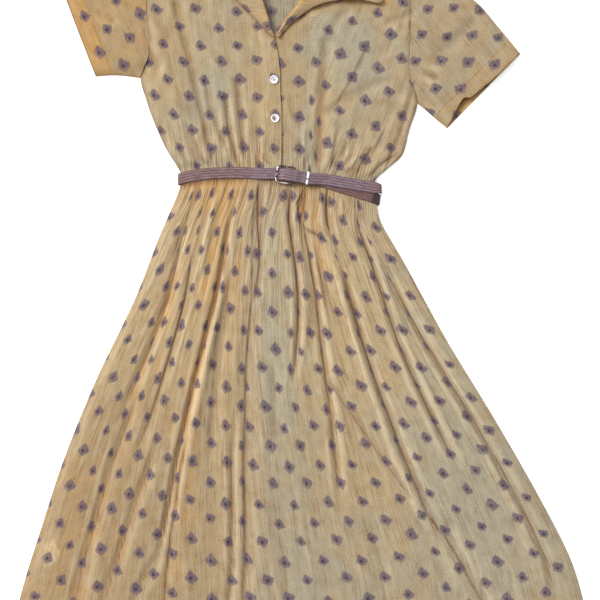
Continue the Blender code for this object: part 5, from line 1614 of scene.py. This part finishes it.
# %% [markdown]
# ## Buckle, prong and keeper
# These are plain polished wire and strip. The frame starts as a flat rectangle whose corners are
# rounded with a bevel. Its edge line becomes a curve, and the curve gets a round thickness, which is
# thinner at the hinge bar, as the wire of such a buckle is.

# %% Polished metal
# Painted reflection: dark and bright patches of the base colour stand in for what polished metal mirrors.
METAL_DARK_REFLECTION, METAL_BRIGHT = srgb(96, 78, 82), srgb(236, 232, 230)


def metal_material():
    material, tree, shader = new_material("polished_metal")
    place = add(tree, "TexCoord").outputs["Object"]
    worn = noise(tree, place, 900.0, 3.0)
    # painted reflection: dark and bright patches
    reflection_patches = ramp(tree, noise(tree, place, 130.0, 2.0), 0.44, 0.54)
    bump = add(tree, "Bump", {"Height": worn, "Strength": 0.08, "Distance": 0.0003})
    wire(tree, shader, {"Base Color": blend(tree, reflection_patches, METAL_DARK_REFLECTION, METAL_BRIGHT), "Metallic": 1.0,
                        "Roughness": ramp(tree, worn, 0.3, 0.7, 0.12, 0.26), "Normal": bump.outputs[0]})
    return material


METAL = metal_material()


def edit_all():
    """Opens the active mesh for editing, with everything selected."""
    bpy.ops.object.mode_set(mode="EDIT")
    bpy.ops.mesh.select_all(action="SELECT")


def settle(obj, name, material, row, turn):
    """Puts a piece made about the origin in its place, with the place kept in its mesh."""
    obj.name = name
    obj.data.name = name
    obj.data.materials.clear()
    obj.data.materials.append(material)
    obj.rotation_euler = (obj.rotation_euler.x, obj.rotation_euler.y, math.radians(turn))
    obj.location = placed(row)
    bpy.ops.object.select_all(action="DESELECT")
    obj.select_set(True)
    bpy.context.view_layer.objects.active = obj
    bpy.ops.object.transform_apply(location=True, rotation=True, scale=True)
    edit_all()
    bpy.ops.mesh.normals_make_consistent(inside=False)
    bpy.ops.object.mode_set(mode="OBJECT")
    bpy.ops.object.shade_smooth_by_angle(angle=math.radians(40.0))
    obj.select_set(False)


bpy.ops.mesh.primitive_plane_add(size=1.0, location=(0, 0, 0))
buckle_frame = bpy.context.object
buckle_frame.scale = (2 * BUCKLE_HALF_WIDTH * MM, 2 * BUCKLE_HALF_HEIGHT * MM, 1.0)
bpy.ops.object.transform_apply(location=False, rotation=False, scale=True)
edit_all()
bpy.ops.mesh.bevel(offset=BUCKLE_CORNER * MM, segments=10, affect="VERTICES")
bpy.ops.mesh.delete(type="ONLY_FACE")
bpy.ops.mesh.select_all(action="SELECT")
bpy.ops.mesh.subdivide(number_cuts=1)
bpy.ops.object.mode_set(mode="OBJECT")
bpy.ops.object.convert(target="CURVE")
buckle_frame = bpy.context.object
buckle_frame.data.bevel_depth = BUCKLE_WIRE * MM
buckle_frame.data.bevel_resolution = 6
for spline in buckle_frame.data.splines:
    for point in spline.points:
        hinge_side = float(smooth((point.co.x / MM - 9.0) / 8.0))
        point.radius = between(1.0, HINGE_WIRE / BUCKLE_WIRE, hinge_side)
bpy.ops.object.convert(target="MESH")
settle(bpy.context.object, "buckle_frame_wire", METAL,
       StrapRow(BUCKLE_X, BUCKLE_Y, BUCKLE_BASE + BUCKLE_Z, 0), BUCKLE_TURN)
buckle_frame = bpy.data.objects["buckle_frame_wire"]
print("buckle frame:", len(buckle_frame.data.polygons), "faces")

# %% [markdown]
# The prong is one wire bent round the hinge bar. A round disc is spun about the bar and then extruded
# step by step along the strap to the frame, and its last step is narrower, for the tip.

# %% The prong
PRONG_ROUND = HINGE_WIRE + 0.25 + PRONG_WIRE
PRONG_START, PRONG_BEND = -130.0, 220.0
FAR_BAR = -2.0 * BUCKLE_HALF_WIDTH
PRONG_STEPS = [(-8.0, 5.75), (-20.0, 6.1), (FAR_BAR + 3.0, 5.95), (FAR_BAR - 0.6, 5.75),
               (FAR_BAR - 2.6, 5.2)]
PRONG_TIP = 0.6
start = math.radians(PRONG_START)
bpy.ops.mesh.primitive_circle_add(
    vertices=16, radius=PRONG_WIRE * MM, fill_type="NGON",
    location=(PRONG_ROUND * math.cos(start) * MM, 0.0, (BUCKLE_Z + PRONG_ROUND * math.sin(start)) * MM),
    rotation=(0.0, -start, 0.0))
prong = bpy.context.object
bpy.ops.object.transform_apply(location=True, rotation=True, scale=True)
edit_all()
bpy.ops.mesh.spin(steps=20, angle=math.radians(PRONG_BEND), center=(0.0, 0.0, BUCKLE_Z * MM),
                  axis=(0.0, -1.0, 0.0))
at = (0.0, BUCKLE_Z + PRONG_ROUND)
for reach, up in PRONG_STEPS:
    bpy.ops.mesh.extrude_region_move(
        TRANSFORM_OT_translate={"value": ((reach - at[0]) * MM, 0.0, (up - at[1]) * MM)})
    at = (reach, up)
bpy.ops.transform.resize(value=(PRONG_TIP,) * 3, center_override=(at[0] * MM, 0.0, at[1] * MM))
bpy.ops.object.mode_set(mode="OBJECT")
settle(prong, "buckle_prong_wire", METAL, by_buckle(0.0, 0.0), BUCKLE_TURN)
print("prong:", len(prong.data.polygons), "faces")

# %% [markdown]
# The keeper is a strip of metal bent to a closed band. A cube of its outer size loses its two ends,
# gets rounded corners, and is given the strip's thickness inward.

# %% The keeper
KEEPER_LOW, KEEPER_HIGH, KEEPER_ROOM = 0.1, 7.1, 3.2
bpy.ops.mesh.primitive_cube_add(size=1.0, location=(0, 0, 0))
keeper = bpy.context.object
keeper.scale = (KEEPER_WIDTH * MM, (BELT_WIDTH + KEEPER_ROOM + KEEPER_WIRE) * MM,
                (KEEPER_HIGH - KEEPER_LOW + 2 * KEEPER_WIRE) * MM)
bpy.ops.object.transform_apply(location=False, rotation=False, scale=True)
bpy.ops.object.mode_set(mode="EDIT")
bpy.ops.mesh.select_mode(type="FACE")
bpy.ops.mesh.select_all(action="DESELECT")
bpy.ops.object.mode_set(mode="OBJECT")
for polygon in keeper.data.polygons:
    polygon.select = abs(polygon.normal.x) > 0.9
bpy.ops.object.mode_set(mode="EDIT")
bpy.ops.mesh.delete(type="FACE")
bpy.ops.object.mode_set(mode="OBJECT")
for kind, values in (("BEVEL", {"width": 2.0 * MM, "segments": 6}),
                     ("SOLIDIFY", {"thickness": KEEPER_WIRE * MM, "offset": -1.0}),
                     ("BEVEL", {"width": 0.18 * MM, "segments": 2, "angle_limit": math.radians(60)})):
    modifier = keeper.modifiers.new(kind.lower(), kind)
    for key, value in values.items():
        setattr(modifier, key, value)
    bpy.ops.object.modifier_apply(modifier=modifier.name)
band = by_buckle(KEEPER_ALONG, 0.0)
settle(keeper, "belt_keeper_band", METAL,
       StrapRow(band.x, band.y, BUCKLE_BASE + (KEEPER_LOW + KEEPER_HIGH - KEEPER_WIRE) / 2, 0), BUCKLE_TURN)
print("keeper:", len(keeper.data.polygons), "faces")

# %% [markdown]
# ## Buttons
# A shirt button is turned from shell: a disc with a raised rim and four holes. The disc grows here ring
# by ring with extrude and scale, the way the lathe cuts it, and the holes are drilled with a boolean.
# It is modelled once and copied. Thread crosses it twice, and a short shank of thread holds it on.

# %% Shell and thread
SHELL_COLOURS = srgb(236, 236, 238), srgb(196, 200, 210)
THREAD_COLOURS = srgb(138, 112, 76), srgb(180, 154, 112)


def shell_material():
    material, tree, shader = new_material("pearly_shell")
    wavy = noise(tree, add(tree, "TexCoord").outputs["Object"], 160.0, 3.0, Distortion=2.0)
    wire(tree, shader, {"Base Color": blend(tree, ramp(tree, wavy, 0.3, 0.7), *SHELL_COLOURS),
                        "Roughness": ramp(tree, wavy, 0.3, 0.7, 0.18, 0.32), "Coat Weight": 0.4})
    return material


def thread_material():
    material, tree, shader = new_material("cotton_thread")
    fuzz = noise(tree, add(tree, "TexCoord").outputs["Object"], 1200.0, 2.0)
    wire(tree, shader, {"Base Color": blend(tree, ramp(tree, fuzz, 0.3, 0.7), *THREAD_COLOURS),
                        "Roughness": 0.85})
    return material


SHELL, THREAD = shell_material(), thread_material()
print("materials:", METAL.name, SHELL.name, THREAD.name)

# %% Turn a button and copy it
BUTTON_PROFILE = [(4.0, 0.0), (6.6, 0.4), (7.4, 1.0), (7.5, 1.5), (7.3, 2.2), (6.9, 2.5), (6.4, 2.6),
                  (5.9, 2.4), (5.4, 1.9), (4.6, 1.1), (3.6, 0.95), (0.8, 0.9)]
BUTTON_HOLE, BUTTON_HOLE_OUT = 0.8, 1.7
BUTTON_RADIUS = max(radius for radius, up in BUTTON_PROFILE)
THREAD_OUT, THREAD_HALF = 0.71 * BUTTON_HOLE_OUT, 0.35
BUTTONS = [("button_1", -47.0, 323.0, 6.0), ("button_2", -45.0, 255.5, 0.0)]

bpy.ops.mesh.primitive_circle_add(vertices=40, radius=BUTTON_PROFILE[0][0] * MM, fill_type="NGON",
                                  location=(0, 0, 0))
button = bpy.context.object
edit_all()
for (old_radius, old_up), (radius, up) in zip(BUTTON_PROFILE, BUTTON_PROFILE[1:]):
    bpy.ops.mesh.extrude_region_move(TRANSFORM_OT_translate={"value": (0.0, 0.0, (up - old_up) * MM)})
    bpy.ops.transform.resize(value=(radius / old_radius, radius / old_radius, 1.0),
                             center_override=(0.0, 0.0, up * MM))
bpy.ops.object.mode_set(mode="OBJECT")
for angle in (45, 135, 225, 315):
    turn = math.radians(angle)
    bpy.ops.mesh.primitive_cylinder_add(
        vertices=14, radius=BUTTON_HOLE * MM, depth=6.0 * MM,
        location=(BUTTON_HOLE_OUT * math.cos(turn) * MM, BUTTON_HOLE_OUT * math.sin(turn) * MM, 0.0))
    cut(button, bpy.context.object)


def rest_height(x, y, radius):
    around = [(x + r * math.cos(a), y + r * math.sin(a)) for r in (0.0, 5.0, radius)
              for a in np.arange(0, 2 * math.pi, math.pi / 6)]
    return max(float(ground(px, py)) for px, py in around)


def cord_mesh(paths, radius, sides=6):
    """Round cords along lists of points, closed at both ends: points and faces."""
    points, faces = [], []
    for path in paths:
        path = np.asarray(path, dtype=float)
        run = np.gradient(path, axis=0)
        run = run / np.linalg.norm(run, axis=1)[:, None]
        first = len(points)
        for place, way in zip(path, run):
            side = np.cross(way, (0.0, 0.0, 1.0) if abs(way[2]) < 0.9 else (1.0, 0.0, 0.0))
            side = side / np.linalg.norm(side)
            up = np.cross(side, way)
            for k in range(sides):
                a = 2.0 * math.pi * k / sides
                points.append(place + radius * (math.cos(a) * side + math.sin(a) * up))
        faces += [tuple(int(i) + first for i in face) for face in grid_quads(len(path), sides, wrap=True)]
        last = first + (len(path) - 1) * sides
        faces.append(tuple(first + k for k in range(sides)))
        faces.append(tuple(last + k for k in range(sides)))
    return np.array(points), faces


buttons, thread_paths = [], []
for name, x, y, tilt in BUTTONS:
    piece = button.copy()
    piece.data = button.data.copy()
    bpy.context.scene.collection.objects.link(piece)
    lift = BUTTON_RADIUS * math.sin(math.radians(abs(tilt)))
    up = rest_height(x, y, BUTTON_RADIUS) + SEAM_GAP + lift
    piece.rotation_euler = (math.radians(tilt), 0.0, 0.0)
    settle(piece, name + "_shell", SHELL, StrapRow(x, y, up, 0), 0.0)
    buttons.append(piece)
    lean = math.tan(math.radians(tilt))
    for side in (-1.0, 1.0):
        bow = []
        for share in np.linspace(0.0, 1.0, 9):
            along_y = between(-THREAD_OUT, THREAD_OUT, share)
            arch = 0.6 * math.sin(math.pi * share) - 1.6 * (abs(2 * share - 1.0) ** 6)
            bow.append((x + side * THREAD_OUT, y + along_y, up + 1.35 + lean * along_y + arch))
        thread_paths.append(bow)
    thread_paths.append([(x, y, up + 0.3), (x, y, up - 0.9 - lift)])
bpy.data.objects.remove(button, do_unlink=True)
points, faces = cord_mesh(thread_paths, THREAD_HALF)
button_thread = build("button_thread", points, faces, np.zeros(len(faces)), np.zeros((len(points), 2)),
                      {"warmth": np.zeros(len(points))}, (THREAD,))
print("buttons:", [piece.name for piece in buttons])

# %% [markdown]
# ## Stitches
# Topstitching holds the placket, the collar's edge and the hems. From above a machine stitch is a short
# float of thread with both ends pulled into the cloth, so each one here is a small lozenge whose lower
# half is sunk in. The lines come from the panels' own points, so the stitches follow every fold.

# %% Rows of stitches
STITCH, STITCH_GAP, STITCH_HALF = 2.3, 0.9, 0.32


def stitch_row(name, lines):
    points, faces = [], []
    for line in lines:
        walked = walked_along(line)
        for start in np.arange(2.0, walked[-1] - STITCH - 2.0, STITCH + STITCH_GAP):
            tips = [np.array([np.interp(d, walked, line[:, axis]) for axis in range(3)])
                    for d in (start, start + STITCH)]
            way = (tips[1] - tips[0]) / np.linalg.norm(tips[1] - tips[0])
            side = np.cross(way, (0.0, 0.0, 1.0))
            side = side / np.linalg.norm(side) * STITCH_HALF
            up = np.cross(side, way)
            first = len(points)
            points += tips + [(tips[0] + tips[1]) / 2 + arm for arm in (side, up, -side, -up)]
            for tip in (0, 1):
                faces += [(first + tip, first + 2 + k, first + 2 + (k + 1) % 4) for k in range(4)]
    return build(name, points, faces, np.zeros(len(faces)), np.zeros((len(points), 2)), {}, (THREAD,))


SEWING = {seam: stitch_row(seam + "_stitches", lines) for seam, lines in SEWN_LINES.items()}
print("stitches:", {seam: len(piece.data.polygons) // 8 for seam, piece in SEWING.items()})

# %% [markdown]
# ## Joining the shared frame
# Each piece now takes the place of its solid and rides on the dress's one body.

# %% Say what each piece stands for
STANDS_FOR = [
    (skirt_front, "skirt_front", "cloth"), (skirt_back, "skirt_back", "cloth"),
    (bodice_right, "bodice_front_right", "cloth"), (bodice_left, "bodice_front_left", "cloth"),
    (bodice_back, "bodice_back", "cloth"), (sleeve_right, "sleeve_right", "cloth"),
    (sleeve_left, "sleeve_left", "cloth"), (collar, "collar", "cloth"), (belt, "belt_strap", "strap"),
    (buckle_frame, "buckle_frame", "metal"), (prong, "buckle_prong", "metal"),
    (keeper, "belt_keeper", "metal"), (buttons[0], "button_1", "button"),
    (buttons[1], "button_2", "button"),
]
for piece, node, slot in STANDS_FOR:
    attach(piece, "root")
    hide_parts(node)
for piece in (button_thread, *SEWING.values()):
    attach(piece, "root")


def one_side(piece):
    """Area in square metres of one side of a closed thin sheet."""
    return sum(polygon.area for polygon in piece.data.polygons) / 2.0


for piece, node, slot in STANDS_FOR[:8]:
    print(piece.name, round(one_side(piece), 4), "square metres,", len(piece.data.polygons), "faces")

SCENE_BOX = [list(corner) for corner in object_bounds()]
for label, box in (("solid", CAD_BOX), ("scene", SCENE_BOX)):
    print(label, [[round(value * 1000, 1) for value in corner] for corner in box])
